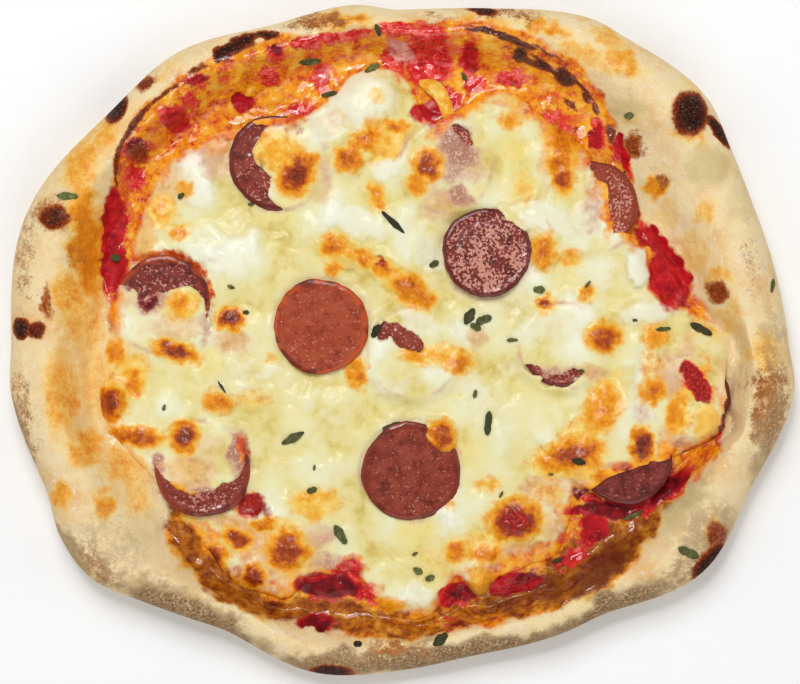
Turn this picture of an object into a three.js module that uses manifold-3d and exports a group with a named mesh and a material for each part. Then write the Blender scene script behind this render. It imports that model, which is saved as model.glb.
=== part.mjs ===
// A small oval pinsa: a puffed, hand-stretched crust with tomato sauce, melted mozzarella,
// slices of smoked sausage and dried herb flakes. Millimetres, +Z up, standing on z = 0.
// Places are [x, y] from the middle of the pinsa, with +Y away from the diner.

import * as THREE from 'three';
import { mergeVertices } from 'three/addons/utils/BufferGeometryUtils.js';
import Module from 'manifold-3d';

const wasm = await Module();
wasm.setup();

// ---------------------------------------------------------------- driving sizes

const GAP = 0.3; // clearance between pieces that touch
const SPOKES = 96; // facets round the crust and the sauce
const BASE_THICKNESS = 5; // dough under the toppings
const RIM_HEIGHT = 18.5; // mean height of the puffed rim
const UNDERCUT = 7; // how far the rim overhangs the flat base
const WAIST = 0.42; // share of the rim's height where it is widest
const SAUCE_THICKNESS = 0.9;
const SAUCE_EDGE_THICKNESS = 0.45;
const CHEESE_THICKNESS = 2.7;
const CHEESE_EDGE_THICKNESS = 0.8;
const CHEESE_EDGE_ROUNDING = 3.5; // distance over which the cheese swells from its edge
const CHEESE_RINGS = 18; // ring k of the cheese has 6k points
const SLICE_THICKNESS = 3.2;
const SLICE_FACETS = 22;
const SLICE_BEVEL = 0.7;
const SLICE_DOME = 0.35;
const FLAKE_LIFT = 0.55; // how far a herb flake stands above what it lies on
const FLAKE_SINK = 0.7; // how far it is sunk in

const SAUCE_FLOOR = BASE_THICKNESS + GAP;
const CHEESE_FLOOR = SAUCE_FLOOR + SAUCE_THICKNESS + GAP;

// Radius of each edge at the angles where it bends, as [degrees, mm], degrees from +X.
const OUTER_EDGE = [
  [0, 116], [20, 113.2], [30, 114.5], [39, 117.3], [52.5, 113.7], [60, 112.2], [75, 103.4],
  [90, 99.5], [98, 102], [112.5, 102.6], [127.5, 109.5], [142.5, 111.3], [157.5, 117.6],
  [165, 118.8], [180, 116.9], [187.5, 118], [202.5, 115.4], [210, 117.9], [217.5, 117],
  [225, 110.3], [232.5, 104.7], [240, 101.4], [255, 103], [270, 99], [283, 97], [300, 100.5],
  [307.5, 102.6], [322.5, 114], [337.5, 114], [352.5, 118.8],
];
const SAUCE_EDGE = [
  [0, 100], [8, 91], [20, 85], [30, 82.5], [45, 91], [60, 99], [75, 97.8], [98, 94.2],
  [112.5, 98.4], [127.5, 102], [142.5, 102.3], [157.5, 95], [180, 89.5], [195, 92.8], [210, 88],
  [232.5, 91.5], [247.5, 90.3], [270, 89.4], [285, 88], [300, 92.7], [315, 95.4], [330, 95],
  [345, 102],
];
const FLOOR_EDGE = [
  [0, 99.2], [8, 88], [20, 83.5], [30, 81.5], [45, 84], [60, 84], [75, 82], [90, 83], [98, 84.5],
  [112.5, 83], [127.5, 86], [142.5, 91.5], [157.5, 89], [180, 88.4], [195, 91.6], [210, 86.5],
  [232.5, 89.2], [247.5, 86.5], [262, 82], [277.5, 83.2], [300, 84], [315, 84], [330, 88],
  [337.5, 92], [345, 101.2], [352.5, 98.8],
];
const CHEESE_EDGE = [
  [0, 98.4], [7.5, 85.5], [15, 73.8], [30, 68], [38, 74], [45, 73], [55, 78.6], [67.5, 81.6],
  [75, 73.2], [82.5, 66.6], [90, 81.3], [97.5, 83], [112.5, 74.4], [127.5, 81], [142.5, 89.5],
  [157.5, 86.7], [180, 87.3], [195, 90.6], [210, 85.2], [225, 85.5], [235, 88], [247.5, 85.2],
  [255, 71.7], [270, 81.3], [277.5, 82], [285, 75], [300, 77.4], [315, 74.4], [322.5, 72],
  [330, 77.4], [337.5, 90], [345, 100.2], [352.5, 97.5],
];

// Soft bumps as [x, y, half length, half width, turn in degrees, height].
const CRUST_BUMPS = [
  [85.8, 67.5, 6.5, 6, 0, 1.7], [-102.9, 36, 5.5, 4.5, 10, 1.4], [-85.5, 69.9, 6, 4, 60, 1.3],
  [-110, 3.6, 5, 4, 0, 1], [25.2, 97, 7, 3, 0, 1], [94.2, -64.2, 7, 7, 0, 1.6],
  [65.7, 71, 13, 8, -35, 1.8], [70.2, 57.3, 4, 4.5, 0, -3], [-91.8, -67.2, 14, 9, -40, 1.6],
  [-108, -25, 9, 14, 0, 1.2], [-60, -84, 14, 6, -25, 1.1], [-16, -96, 12, 5, 0, 1.4],
  [46, -86, 14, 6, 20, 1.2], [107, -8, 7, 16, 0, 1.5], [104, 32, 6, 14, 15, 1.3],
  [-66, 84, 16, 6, 35, 1.3], [-16, 96, 14, 4, 0, 1], [-62, -71, 12, 8, -30, -1.2],
  [99, -42, 8, 10, -20, 1.2], [-99, 12, 7, 9, 0, -0.9],
];
const SAUCE_BUMPS = [
  [-68.5, 65.4, 5, 3.4, 15, 0.9], [-54.5, 66.5, 4, 3.2, 0, 1], [-39.6, 79, 4, 2.6, 0, 0.8],
  [-55, 64, 7, 4, 20, 0.8], [-31, 70, 4, 2.4, 0, 0.7], [0, 84, 9, 7, 0, 1.2],
  [10, 78, 5, 6, 0, 0.9], [33, 79.5, 6, 3, -10, 0.9], [46.2, 66.5, 7, 5, -30, 1],
  [58, 58.8, 3, 4, 0, 0.7], [79.5, 20.7, 5, 6.5, 20, 1.1], [-86.4, 30, 3, 8, 0, 0.8],
  [-20.4, -74, 10, 3, 0, 1], [-25, -85.5, 8, 2.4, 0, 1], [60, -69, 12, 4, 30, 0.9], [82, -46, 5, 9, -30, 0.8],
];
const CHEESE_LUMPS = [
  [-33, 53.5, 12, 13, 0, 3.4], [-71.4, 4.5, 16, 9.5, 0, 3.1], [-60, -33, 15.5, 11.5, 0, 3.1],
  [62, -28, 15, 11, 0, 3.2], [80, -15, 10, 13, 0, 3], [50, 43.5, 11.5, 16, 0, 3.2],
  [11.5, 47, 16, 14, 0, 3.2], [9, -10.5, 14, 8, 0, 3], [10, 6, 7, 5, 0, 2], [49, 3, 16, 10, 0, 3],
  [-10.2, 57.3, 9, 5, 35, 1.2], [-7.2, 21.3, 17, 5, -30, 1.5], [-9.6, 73.5, 10, 9, 0, 1.6],
  [71.4, 22.8, 5, 7, 0, 1.4], [71, 8.7, 9, 4, 10, 1.4], [72, -4, 5, 12, -8, 1.3],
  [91.2, -27, 6, 7, 0, 2.2], [33.6, -54, 9, 8, 0, 2], [-85.5, -18.6, 6, 6, 0, 2],
  [-34.8, -61, 7.5, 7, 0, 1.7], [-27.3, -46.8, 8, 4, 0, 1.2], [23, -70, 4, 5, 0, 1.4],
  [52.2, -37, 7, 6, 0, 1.1], [42.9, 26.7, 5, 6, 0, 1.1], [48.3, 58, 5, 8, 0, 0.8],
  [-40, 25, 18, 13, 20, 0.9], [-30, -22, 16, 8, -10, 0.8], [25, -28, 8, 16, 10, 0.9],
  [-6, -14, 5, 6, 0, 1.6],
];

// Slices of sausage: [name, x, y, radius, height of the underside, tilt about X, tilt about Y].
const SLICES = [
  ['slice_centre', -23.9, 4.4, 14.4, 8.2, 2, -3], ['slice_right', 25.5, 26.4, 13.5, 8.5, -3, 3],
  ['slice_lower', 3, -39, 15, 7.7, 2, 2], ['slice_upper_left', -37.5, 53.7, 14.4, 7.2, 2, 2],
  ['slice_left', -71.4, 11.4, 14.4, 7.1, 2, 1], ['slice_lower_left', -59.4, -38.7, 14.4, 7.1, -2, 1],
  ['slice_lower_right', 67.2, -35.1, 14.2, 7, -2, 1],
  ['slice_far_right', 87, -16.6, 12, 7, 0, -1], ['slice_upper_right', 57.3, 40.5, 13.8, 7, 1, 1],
  ['slice_top', 13.4, 52.4, 13.4, 7, 1, 0], ['slice_middle', 3.6, -3.6, 13.2, 7, -1, 0],
  ['slice_middle_right', 48.3, -1.5, 12.6, 7, -2, 0],
];

// Herb flakes as [x, y, length, width, turn in degrees].
const FLAKES_ON_CHEESE = [
  [-8.7, 82, 5, 3, 20], [-21.5, 74.2, 5, 2.4, 10], [-3, 35.2, 9, 3, -45], [41.4, 15, 4, 3.2, 0],
  [22.2, 6.6, 8, 5.5, 40], [-32.4, -29.1, 7.5, 3.4, 30], [-7, 3.4, 6, 5, 60],
  [26.1, -24.6, 7.5, 3.2, 85], [-18.6, -57.9, 6.5, 4, -60], [53.1, -36, 5, 3, -20],
  [75, 3.5, 6, 2.4, 15], [-2.7, -24.6, 6, 2.2, 20], [5.1, -69, 3.6, 3, 0],
  [33, 0.4, 5, 2.2, -10], [-66, 43.5, 3.4, 2.4, 0], [90, 3.2, 7, 4, -25],
];
const FLAKES_ON_SAUCE = [[-27.3, 84.5, 7, 3, 5], [70, -53, 6, 2.4, 25]];
const FLAKES_ON_CRUST = [
  [-98.7, 42.9, 7, 3.2, -10], [-7.5, 93.3, 4.5, 2.4, 80], [68, 67.2, 3.6, 3, 0],
  [111, 16.5, 5, 2, 75], [85.2, -62.7, 7, 4.5, -20], [11.7, -88.8, 5.5, 5, 0],
  [-12.9, -90.6, 3.6, 3, 0],
];

// A loose strip of cheese: an arc round [x, y], from one angle to another.
const TOP_SHRED = { x: 3.5, y: 71, arc: 10, from: -26, to: 58, width: 4.5, height: 2.4 };

// ---------------------------------------------------------------- curves and fields

const radians = (degrees) => THREE.MathUtils.degToRad(degrees);
const clamp = THREE.MathUtils.clamp;
const lerp = THREE.MathUtils.lerp;

/** A closed smooth curve of radius against angle, through [degrees, radius] readings. */
function edgeCurve(readings) {
  const count = readings.length;
  const reading = (index) => {
    const wrapped = ((index % count) + count) % count;
    return [readings[wrapped][0] + 360 * Math.floor(index / count), readings[wrapped][1]];
  };
  const slope = (index) => {
    const [before, after] = [reading(index - 1), reading(index + 1)];
    return (after[1] - before[1]) / (after[0] - before[0]);
  };
  return (angle) => {
    const degrees = ((THREE.MathUtils.radToDeg(angle) % 360) + 360) % 360;
    const index = readings.findLastIndex(([start]) => start <= degrees + 1e-9);
    const [[a0, r0], [a1, r1]] = [reading(index), reading(index + 1)];
    const span = a1 - a0;
    const t = (degrees - a0) / span;
    const rise = t * t * (3 - 2 * t);
    const leave = t * (1 - t) * (1 - t) * span * slope(index);
    const arrive = t * t * (t - 1) * span * slope(index + 1);
    return lerp(r0, r1, rise) + leave + arrive;
  };
}

const outerRadius = edgeCurve(OUTER_EDGE);
const sauceRadius = edgeCurve(SAUCE_EDGE);
const cheeseRadius = edgeCurve(CHEESE_EDGE);
const floorCurve = edgeCurve(FLOOR_EDGE);

/** Where the flat floor ends and the rim starts to rise, outside the cheese, inside the sauce. */
function floorRadius(angle) {
  return clamp(floorCurve(angle), cheeseRadius(angle) + 0.6, sauceRadius(angle) - 0.8);
}

/** Sum of soft bumps [x, y, half length, half width, turn, height] at one place. */
function bumps(list, x, y) {
  let total = 0;
  for (const [cx, cy, long, short, turn, height] of list) {
    const [cosine, sine] = [Math.cos(radians(turn)), Math.sin(radians(turn))];
    const u = ((x - cx) * cosine + (y - cy) * sine) / long;
    const v = ((y - cy) * cosine - (x - cx) * sine) / short;
    total += height * Math.exp(-u * u - v * v);
  }
  return total;
}

/** Height of the rim's crest: thick at both ends of the oval, lower in front and behind. */
function rimHeight(angle) {
  const ends = 2 * Math.cos(2 * angle);
  const uneven = 0.7 * Math.sin(5 * angle + 0.6) + 0.5 * Math.sin(9 * angle + 2.1);
  return RIM_HEIGHT + ends + uneven;
}

/** Radius of the rim's crest: well inside at both ends, near the edge in front and behind. */
function crestRadius(angle) {
  const inset = 10 + 3 * Math.cos(2 * angle);
  return Math.max(outerRadius(angle) - inset, floorRadius(angle) + 4);
}

/** Top of the crust at an angle and radius, from the flat floor over the crest to the edge. */
function crustTop(angle, radius) {
  const [floor, crest, outer] = [floorRadius(angle), crestRadius(angle), outerRadius(angle)];
  const height = rimHeight(angle);
  const x = radius * Math.cos(angle);
  const y = radius * Math.sin(angle);
  if (radius <= floor) return BASE_THICKNESS;
  if (radius <= crest) {
    const t = (radius - floor) / (crest - floor);
    const rise = Math.sin((t * Math.PI) / 2) ** 1.3;
    return lerp(BASE_THICKNESS, height, rise) + rise * bumps(CRUST_BUMPS, x, y);
  }
  const t = clamp((radius - crest) / (outer - crest), 0, 1);
  const fall = Math.sqrt(Math.max(0, 1 - t * t));
  return lerp(WAIST * height, height, fall) + fall * bumps(CRUST_BUMPS, x, y);
}

/** Thickness of the sauce: bumps of crushed tomato, thin at its edge. */
function sauceThickness(angle, radius) {
  const room = clamp((sauceRadius(angle) - radius) / 4, 0, 1);
  const x = radius * Math.cos(angle);
  const y = radius * Math.sin(angle);
  const relief = Math.max(0, bumps(SAUCE_BUMPS, x, y));
  const bare = clamp((radius - cheeseRadius(angle)) / 3, 0, 1);
  return lerp(SAUCE_EDGE_THICKNESS, SAUCE_THICKNESS + bare * relief, room);
}

/** Top of the cheese: swelling from its edge, with lumps and shallow waves. */
function cheeseTop(x, y) {
  const room = Math.max(0, cheeseRadius(Math.atan2(y, x)) - Math.hypot(x, y));
  const swell = 1 - Math.exp(-room / CHEESE_EDGE_ROUNDING);
  const waves = 0.35 * Math.sin(x / 3.1 + 1) * Math.sin(y / 3.7 + 2) + 0.25 * Math.sin((x + y) / 3.3);
  const body = CHEESE_THICKNESS + waves + bumps(CHEESE_LUMPS, x, y);
  return CHEESE_FLOOR + lerp(CHEESE_EDGE_THICKNESS, body, swell);
}

// ---------------------------------------------------------------- solids

/** Distance between two points, to the micrometre so that two parallel faces split alike. */
function distance(a, b) {
  return Math.round(1000 * Math.hypot(a[0] - b[0], a[1] - b[1], a[2] - b[2]));
}

/**
 * A closed solid from rings of points, bottom ring first, each end closed by a fan. Each
 * four-sided facet is split along its shorter diagonal.
 */
function ringSolid(rings, bottomPole, topPole) {
  const positions = [];
  const triangles = [];
  const starts = rings.map((ring) => {
    const start = positions.length / 3;
    ring.forEach((point) => positions.push(...point));
    return start;
  });
  const bottom = positions.length / 3;
  positions.push(...bottomPole, ...topPole);
  const count = rings[0].length;
  for (let k = 0; k < count; k += 1) {
    const next = (k + 1) % count;
    triangles.push(bottom, starts[0] + next, starts[0] + k);
    for (let level = 0; level + 1 < rings.length; level += 1) {
      const [low, high] = [starts[level], starts[level + 1]];
      const [lower, upper] = [rings[level], rings[level + 1]];
      if (distance(lower[k], upper[next]) < distance(lower[next], upper[k])) {
        triangles.push(low + k, low + next, high + next, low + k, high + next, high + k);
      } else {
        triangles.push(low + k, low + next, high + k, low + next, high + next, high + k);
      }
    }
    const last = starts[rings.length - 1];
    triangles.push(last + k, last + next, bottom + 1);
  }
  return indexedGeometry(positions, triangles);
}

function indexedGeometry(positions, triangles) {
  const geometry = new THREE.BufferGeometry();
  geometry.setAttribute('position', new THREE.Float32BufferAttribute(positions, 3));
  geometry.setIndex(triangles);
  return geometry;
}

/** A ring of points round the middle: radiusAt and heightAt are functions of the angle. */
function ring(radiusAt, heightAt) {
  return Array.from({ length: SPOKES }, (_, k) => {
    const angle = (2 * Math.PI * k) / SPOKES;
    const radius = radiusAt(angle);
    return [radius * Math.cos(angle), radius * Math.sin(angle), heightAt(angle, radius)];
  });
}

const SLOPE_STEPS = [0, 0.35, 0.7, 1]; // sauce-covered part of the inner slope
const RIM_STEPS = [0.3, 0.6, 0.85, 1]; // bare part of the inner slope, up to the crest
const BROW_STEPS = [0.4, 0.68, 0.88, 0.97]; // from the crest to the outer edge
const WALL_STEPS = [0.75, 0.45, 0.2]; // down the undercut, as shares of the widest height

/** The crust: flat base, undercut wall, puffed rim and a flat floor for the toppings. */
function crustGeometry() {
  const between = (from, to, share) => (angle) => lerp(from(angle), to(angle), share);
  const foot = (angle) => outerRadius(angle) - UNDERCUT;
  const rings = [ring(foot, () => 0)];
  for (const share of [...WALL_STEPS].reverse()) {
    const reach = (angle) => foot(angle) + UNDERCUT * Math.sin((share * Math.PI) / 2);
    rings.push(ring(reach, (angle) => share * WAIST * rimHeight(angle)));
  }
  rings.push(ring(outerRadius, (angle) => WAIST * rimHeight(angle)));
  for (const share of [...BROW_STEPS].reverse()) {
    rings.push(ring(between(crestRadius, outerRadius, share), crustTop));
  }
  for (const share of [...RIM_STEPS].reverse()) {
    rings.push(ring(between(sauceRadius, crestRadius, share), crustTop));
  }
  for (const share of [...SLOPE_STEPS].reverse()) {
    rings.push(ring(between(floorRadius, sauceRadius, share), crustTop));
  }
  return ringSolid(rings, [0, 0, 0], [0, 0, BASE_THICKNESS]);
}

/** The sauce: lies on the floor and climbs the inner slope, with the crust's own facets. */
function sauceGeometry() {
  const under = (angle, radius) => crustTop(angle, radius) + GAP;
  const top = (angle, radius) => under(angle, radius) + sauceThickness(angle, radius);
  const between = (from, to, share) => (angle) => lerp(from(angle), to(angle), share);
  const inner = (angle) => cheeseRadius(angle) + 0.2;
  const rings = SLOPE_STEPS.map((share) => ring(between(floorRadius, sauceRadius, share), under));
  for (const share of [...SLOPE_STEPS].reverse()) {
    rings.push(ring(between(floorRadius, sauceRadius, share), top));
  }
  rings.push(ring(between(inner, floorRadius, 0.6), top));
  rings.push(ring(inner, () => SAUCE_FLOOR + SAUCE_THICKNESS));
  return ringSolid(rings, [0, 0, SAUCE_FLOOR], [0, 0, SAUCE_FLOOR + SAUCE_THICKNESS]);
}

/** The cheese: a disc of even triangles, ring k with 6k points, over a flat underside. */
function cheeseGeometry() {
  const positions = [0, 0, cheeseTop(0, 0)];
  const triangles = [];
  const ringStart = (k) => 1 + 3 * k * (k - 1);
  const onRing = (k, step) => (k === 0 ? 0 : ringStart(k) + (((step % (6 * k)) + 6 * k) % (6 * k)));
  for (let k = 1; k <= CHEESE_RINGS; k += 1) {
    for (let step = 0; step < 6 * k; step += 1) {
      const angle = (2 * Math.PI * step) / (6 * k);
      const radius = (cheeseRadius(angle) * k) / CHEESE_RINGS;
      const [x, y] = [radius * Math.cos(angle), radius * Math.sin(angle)];
      positions.push(x, y, cheeseTop(x, y));
    }
    for (let sector = 0; sector < 6; sector += 1) {
      for (let step = 0; step < k; step += 1) {
        const [outer, inner] = [sector * k + step, sector * (k - 1) + step];
        triangles.push(onRing(k, outer), onRing(k, outer + 1), onRing(k - 1, inner));
        if (step < k - 1) {
          triangles.push(onRing(k - 1, inner), onRing(k, outer + 1), onRing(k - 1, inner + 1));
        }
      }
    }
  }
  const edge = 6 * CHEESE_RINGS;
  const lower = positions.length / 3;
  for (let step = 0; step < edge; step += 1) {
    const top = onRing(CHEESE_RINGS, step) * 3;
    positions.push(positions[top], positions[top + 1], CHEESE_FLOOR);
  }
  const middle = positions.length / 3;
  positions.push(0, 0, CHEESE_FLOOR);
  for (let step = 0; step < edge; step += 1) {
    const next = (step + 1) % edge;
    const [top, topNext] = [onRing(CHEESE_RINGS, step), onRing(CHEESE_RINGS, next)];
    triangles.push(lower + step, lower + next, topNext, lower + step, topNext, top);
    triangles.push(middle, lower + next, lower + step);
  }
  return indexedGeometry(positions, triangles);
}

/** One sausage slice: an uneven disc with rounded edges, grown by `grow` on every side. */
function sliceGeometry(x, y, radius, height, tiltX, tiltY, grow = 0) {
  const bevel = SLICE_BEVEL;
  const levels = [
    [radius - bevel, -grow], [radius, bevel - grow],
    [radius, SLICE_THICKNESS - bevel + grow], [radius - bevel, SLICE_THICKNESS + grow],
  ];
  const rings = levels.map(([levelRadius, z]) =>
    Array.from({ length: SLICE_FACETS }, (_, k) => {
      const angle = (2 * Math.PI * k) / SLICE_FACETS;
      const uneven = 1 + 0.014 * Math.sin(3 * angle + x) + 0.01 * Math.sin(5 * angle + y);
      const reach = levelRadius * uneven + grow;
      return [reach * Math.cos(angle), reach * Math.sin(angle), z];
    }));
  const geometry = ringSolid(rings, [0, 0, -grow], [0, 0, SLICE_THICKNESS + SLICE_DOME + grow]);
  geometry.rotateX(radians(tiltX));
  geometry.rotateY(radians(tiltY));
  geometry.translate(x, y, height);
  return geometry;
}

/** A herb flake: a thin pointed leaf with a raised midrib, both faces split alike. */
function flakeGeometry(surfaceAt, [x, y, length, width, turn]) {
  const outline = [[-1, 0], [-0.5, -0.8], [0.2, -1], [0.7, -0.6], [1, 0], [0.6, 0.7], [0, 1], [-0.6, 0.6]];
  const [cosine, sine] = [Math.cos(radians(turn)), Math.sin(radians(turn))];
  const place = ([u, v], lift) => {
    const [along, across] = [(u * length) / 2, (v * width) / 2];
    const px = x + along * cosine - across * sine;
    const py = y + along * sine + across * cosine;
    const curl = 0.15 * Math.sin(2.5 * u + 1.5 * v + x);
    return [px, py, surfaceAt(px, py) + lift + curl];
  };
  const lower = outline.map((corner) => place(corner, -FLAKE_SINK));
  const upper = outline.map((corner) => place(corner, FLAKE_LIFT));
  return ringSolid([lower, upper], place([0, 0], -FLAKE_SINK), place([0, 0], FLAKE_LIFT + 0.15));
}

/**
 * A soft strip that lies along an arc and tapers to both ends, grown by `grow` on every side.
 * Each of its points keeps its height above the surface under it.
 */
function stripGeometry(surfaceAt, { x, y, arc, from, to, width, height }, grow = 0) {
  const steps = 9;
  const sides = [[-0.5, 0], [0.5, 0], [0.42, 0.7], [0, 1], [-0.42, 0.7]];
  const sections = Array.from({ length: steps }, (_, k) => {
    const angle = radians(lerp(from, to, k / (steps - 1)));
    const body = 0.35 + 0.65 * Math.sin((Math.PI * (k + 0.5)) / steps);
    return sides.map(([across, up]) => {
      const reach = arc - across * (width * body + 2 * grow);
      const [px, py] = [x + reach * Math.cos(angle), y + reach * Math.sin(angle)];
      const lift = up === 0 ? GAP - grow : GAP + up * height * body + grow;
      return [px, py, surfaceAt(px, py) + lift];
    });
  });
  const middleOf = (points) => [0, 1, 2].map((axis) => {
    const sum = points.reduce((total, point) => total + point[axis], 0);
    return sum / points.length;
  });
  return ringSolid(sections, middleOf(sections[0]), middleOf(sections[steps - 1]));
}

// ---------------------------------------------------------------- joins and cuts

function toSolid(geometry) {
  const bare = geometry.clone();
  bare.deleteAttribute('normal');
  bare.deleteAttribute('uv');
  const merged = mergeVertices(bare, 1e-4);
  return new wasm.Manifold(new wasm.Mesh({
    numProp: 3,
    vertProperties: new Float32Array(merged.attributes.position.array),
    triVerts: new Uint32Array(merged.index.array),
  }));
}

function toGeometry(solid) {
  const mesh = solid.getMesh();
  return indexedGeometry(Array.from(mesh.vertProperties), Array.from(mesh.triVerts));
}

/** The outer shell of a solid's largest body: no loose scraps, no sealed hollows. */
function largestBody(solid) {
  return solid.decompose().reduce((best, body) => (body.volume() > best.volume() ? body : best));
}

function withFlakes(solid, surfaceAt, flakes) {
  const join = (joined, flake) => joined.add(toSolid(flakeGeometry(surfaceAt, flake)));
  return largestBody(flakes.reduce(join, solid));
}

const polar = (heightAt) => (x, y) => heightAt(Math.atan2(y, x), Math.hypot(x, y));
const sauceTopAt = polar((angle, radius) =>
  crustTop(angle, radius) + GAP + sauceThickness(angle, radius));

const slices = SLICES.map(([name, ...sizes]) => ({ name, geometry: sliceGeometry(...sizes), sizes }));
const sliceRoom = slices
  .map(({ sizes }) => toSolid(sliceGeometry(...sizes, GAP)))
  .reduce((joined, solid) => joined.add(solid));

const crust = withFlakes(toSolid(crustGeometry()), polar(crustTop), FLAKES_ON_CRUST);
const sauceBody = withFlakes(toSolid(sauceGeometry()), sauceTopAt, FLAKES_ON_SAUCE);
const sauce = largestBody(sauceBody.subtract(sliceRoom));
const cheeseBody = withFlakes(toSolid(cheeseGeometry()), cheeseTop, FLAKES_ON_CHEESE);
const shredRoom = toSolid(stripGeometry(sauceTopAt, TOP_SHRED, GAP));
const cheese = largestBody(cheeseBody.subtract(sliceRoom).subtract(shredRoom));

// ---------------------------------------------------------------- scene graph

const materials = {
  crust: { color: '#dcbb84', roughness: 0.85, metalness: 0 },
  sauce: { color: '#a8231c', roughness: 0.3, metalness: 0 },
  cheese: { color: '#eadb9c', roughness: 0.35, metalness: 0 },
  sausage: { color: '#96412f', roughness: 0.4, metalness: 0 },
};

function piece(name, geometry, material) {
  const mesh = new THREE.Mesh(geometry, new THREE.MeshStandardMaterial(materials[material]));
  mesh.name = name;
  return mesh;
}

const pinsa = new THREE.Group();
pinsa.add(piece('crust', toGeometry(crust), 'crust'));
pinsa.add(piece('sauce', toGeometry(sauce), 'sauce'));
pinsa.add(piece('cheese', toGeometry(cheese), 'cheese'));
slices.forEach(({ name, geometry }) => pinsa.add(piece(name, geometry, 'sausage')));
pinsa.add(piece('cheese_shred', stripGeometry(sauceTopAt, TOP_SHRED), 'cheese'));

// The box's middle is the origin.
const box = new THREE.Box3().setFromObject(pinsa);
pinsa.position.set(-(box.min.x + box.max.x) / 2, -(box.min.y + box.max.y) / 2, 0);

export default pinsa;
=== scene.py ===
"""A small oval pinsa: puffed crust, tomato sauce, melted mozzarella, sausage slices and herbs.

Every place and size below is in millimetres, measured from the middle of the pinsa, with +X to
the right, +Y away from the diner and +Z up. The pieces are height fields worked out as whole
arrays; soft ragged patches of browning, oil, tomato and cheese are stored on their points, and the
materials turn those patches into colour with fine grain.
"""
from __future__ import annotations

import logging
import math
from dataclasses import dataclass
from enum import Enum

import bpy
import numpy as np
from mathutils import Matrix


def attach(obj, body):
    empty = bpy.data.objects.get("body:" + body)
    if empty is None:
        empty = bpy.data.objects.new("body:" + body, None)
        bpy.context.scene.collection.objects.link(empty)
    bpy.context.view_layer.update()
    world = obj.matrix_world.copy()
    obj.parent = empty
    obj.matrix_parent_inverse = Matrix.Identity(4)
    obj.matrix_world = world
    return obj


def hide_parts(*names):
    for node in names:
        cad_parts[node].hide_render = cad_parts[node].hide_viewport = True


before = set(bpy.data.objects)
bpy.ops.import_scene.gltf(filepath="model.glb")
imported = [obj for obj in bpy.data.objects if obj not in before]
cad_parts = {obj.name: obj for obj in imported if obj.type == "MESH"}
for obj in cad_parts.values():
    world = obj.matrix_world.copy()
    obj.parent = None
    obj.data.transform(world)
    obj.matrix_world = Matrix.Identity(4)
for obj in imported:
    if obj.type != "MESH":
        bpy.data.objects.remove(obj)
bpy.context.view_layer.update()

Array = np.ndarray
Socket = bpy.types.NodeSocket
Material = bpy.types.Material
MM = 0.001
log = logging.getLogger("pinsa")


# ------------------------------------------------------------------ numbers on arrays

def polar(radius: Array, angle: Array) -> tuple[Array, Array]:
    """X and Y of places at a radius and an angle."""
    return radius * np.cos(angle), radius * np.sin(angle)


def turns(count: int) -> Array:
    """Even angles once round, from 0."""
    return 2 * np.pi * np.arange(count) / count


def smoothstep(low: float, high: float, value: Array) -> Array:
    """S-curve: 0 below low, 1 above high, three t squared minus two t cubed between."""
    t = np.clip((value - low) / (high - low), 0.0, 1.0)
    return t * t * (3.0 - 2.0 * t)


def lerp(start: Array, end: Array, share: Array) -> Array:
    """The value at a share of the way from start to end."""
    return start + (end - start) * share


def lattice(i: Array, j: Array, seed: int) -> Array:
    """A fixed random number from 0 to 1 for each whole-number corner (i, j) of a grid.

    Args:
        i, j: The corner.
        seed: Which of the random fields.

    Returns:
        The number.
    """
    mixed = (i * 374761393 + j * 668265263 + seed * 974634777) & 0xFFFFFFFF
    mixed = ((mixed ^ (mixed >> 13)) * 1274126177) & 0xFFFFFFFF
    return ((mixed ^ (mixed >> 16)) & 0xFFFFFF) / float(0xFFFFFF)


def noise(x: Array, y: Array, size: float, seed: int = 0) -> Array:
    """Smooth random field of about -1 to 1 whose waves are `size` mm long.

    Each grid corner has a random direction; its dot product with the way from the corner is
    blended between the four corners with a quintic curve.

    Args:
        x, y: Places, in mm.
        size: Length of the waves, in mm.
        seed: Which of the random fields.

    Returns:
        The field at each place.
    """
    u, v = x / size, y / size
    i, j = np.floor(u).astype(np.int64), np.floor(v).astype(np.int64)
    du, dv = u - i, v - j
    wide, high = (t * t * t * (t * (t * 6 - 15) + 10) for t in (du, dv))

    def corner(di: int, dj: int) -> Array:
        """Dot product of one corner's direction with the way from it."""
        angle = lattice(i + di, j + dj, seed) * 2.0 * np.pi
        return np.cos(angle) * (du - di) + np.sin(angle) * (dv - dj)

    low = lerp(corner(0, 0), corner(1, 0), wide)
    top = lerp(corner(0, 1), corner(1, 1), wide)
    return lerp(low, top, high) * 1.5


def fractal(x: Array, y: Array, size: float, seed: int = 0, octaves: int = 4) -> Array:
    """Sum of noises, each half as long and half as strong as the one before.

    Args:
        x, y: Places, in mm.
        size: Length of the longest waves, in mm.
        seed: Which of the random fields.
        octaves: How many noises are summed.

    Returns:
        The field at each place.
    """
    total = np.zeros_like(x)
    for octave in range(octaves):
        total += noise(x, y, size / 2 ** octave, seed + octave) / 2 ** octave
    return total


def scattered(x: Array, y: Array, size: float, seed: int) -> list[tuple[Array, Array]]:
    """For the nine nearest of scattered points: the distance in cell sizes, and its own number.

    Each square of a grid holds one point at a random place and a random number from 0 to 1.

    Args:
        x, y: Places, in mm.
        size: How far apart the points are, in mm.
        seed: Which of the random fields.

    Returns:
        A pair of distances and numbers for each of the nine points.
    """
    u, v = x / size, y / size
    i, j = np.floor(u).astype(np.int64), np.floor(v).astype(np.int64)
    found = []
    for di in (-1, 0, 1):
        for dj in (-1, 0, 1):
            px = i + di + lattice(i + di, j + dj, seed)
            py = j + dj + lattice(i + di, j + dj, seed + 71)
            found.append((np.hypot(px - u, py - v), lattice(i + di, j + dj, seed + 137)))
    return found


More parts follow.
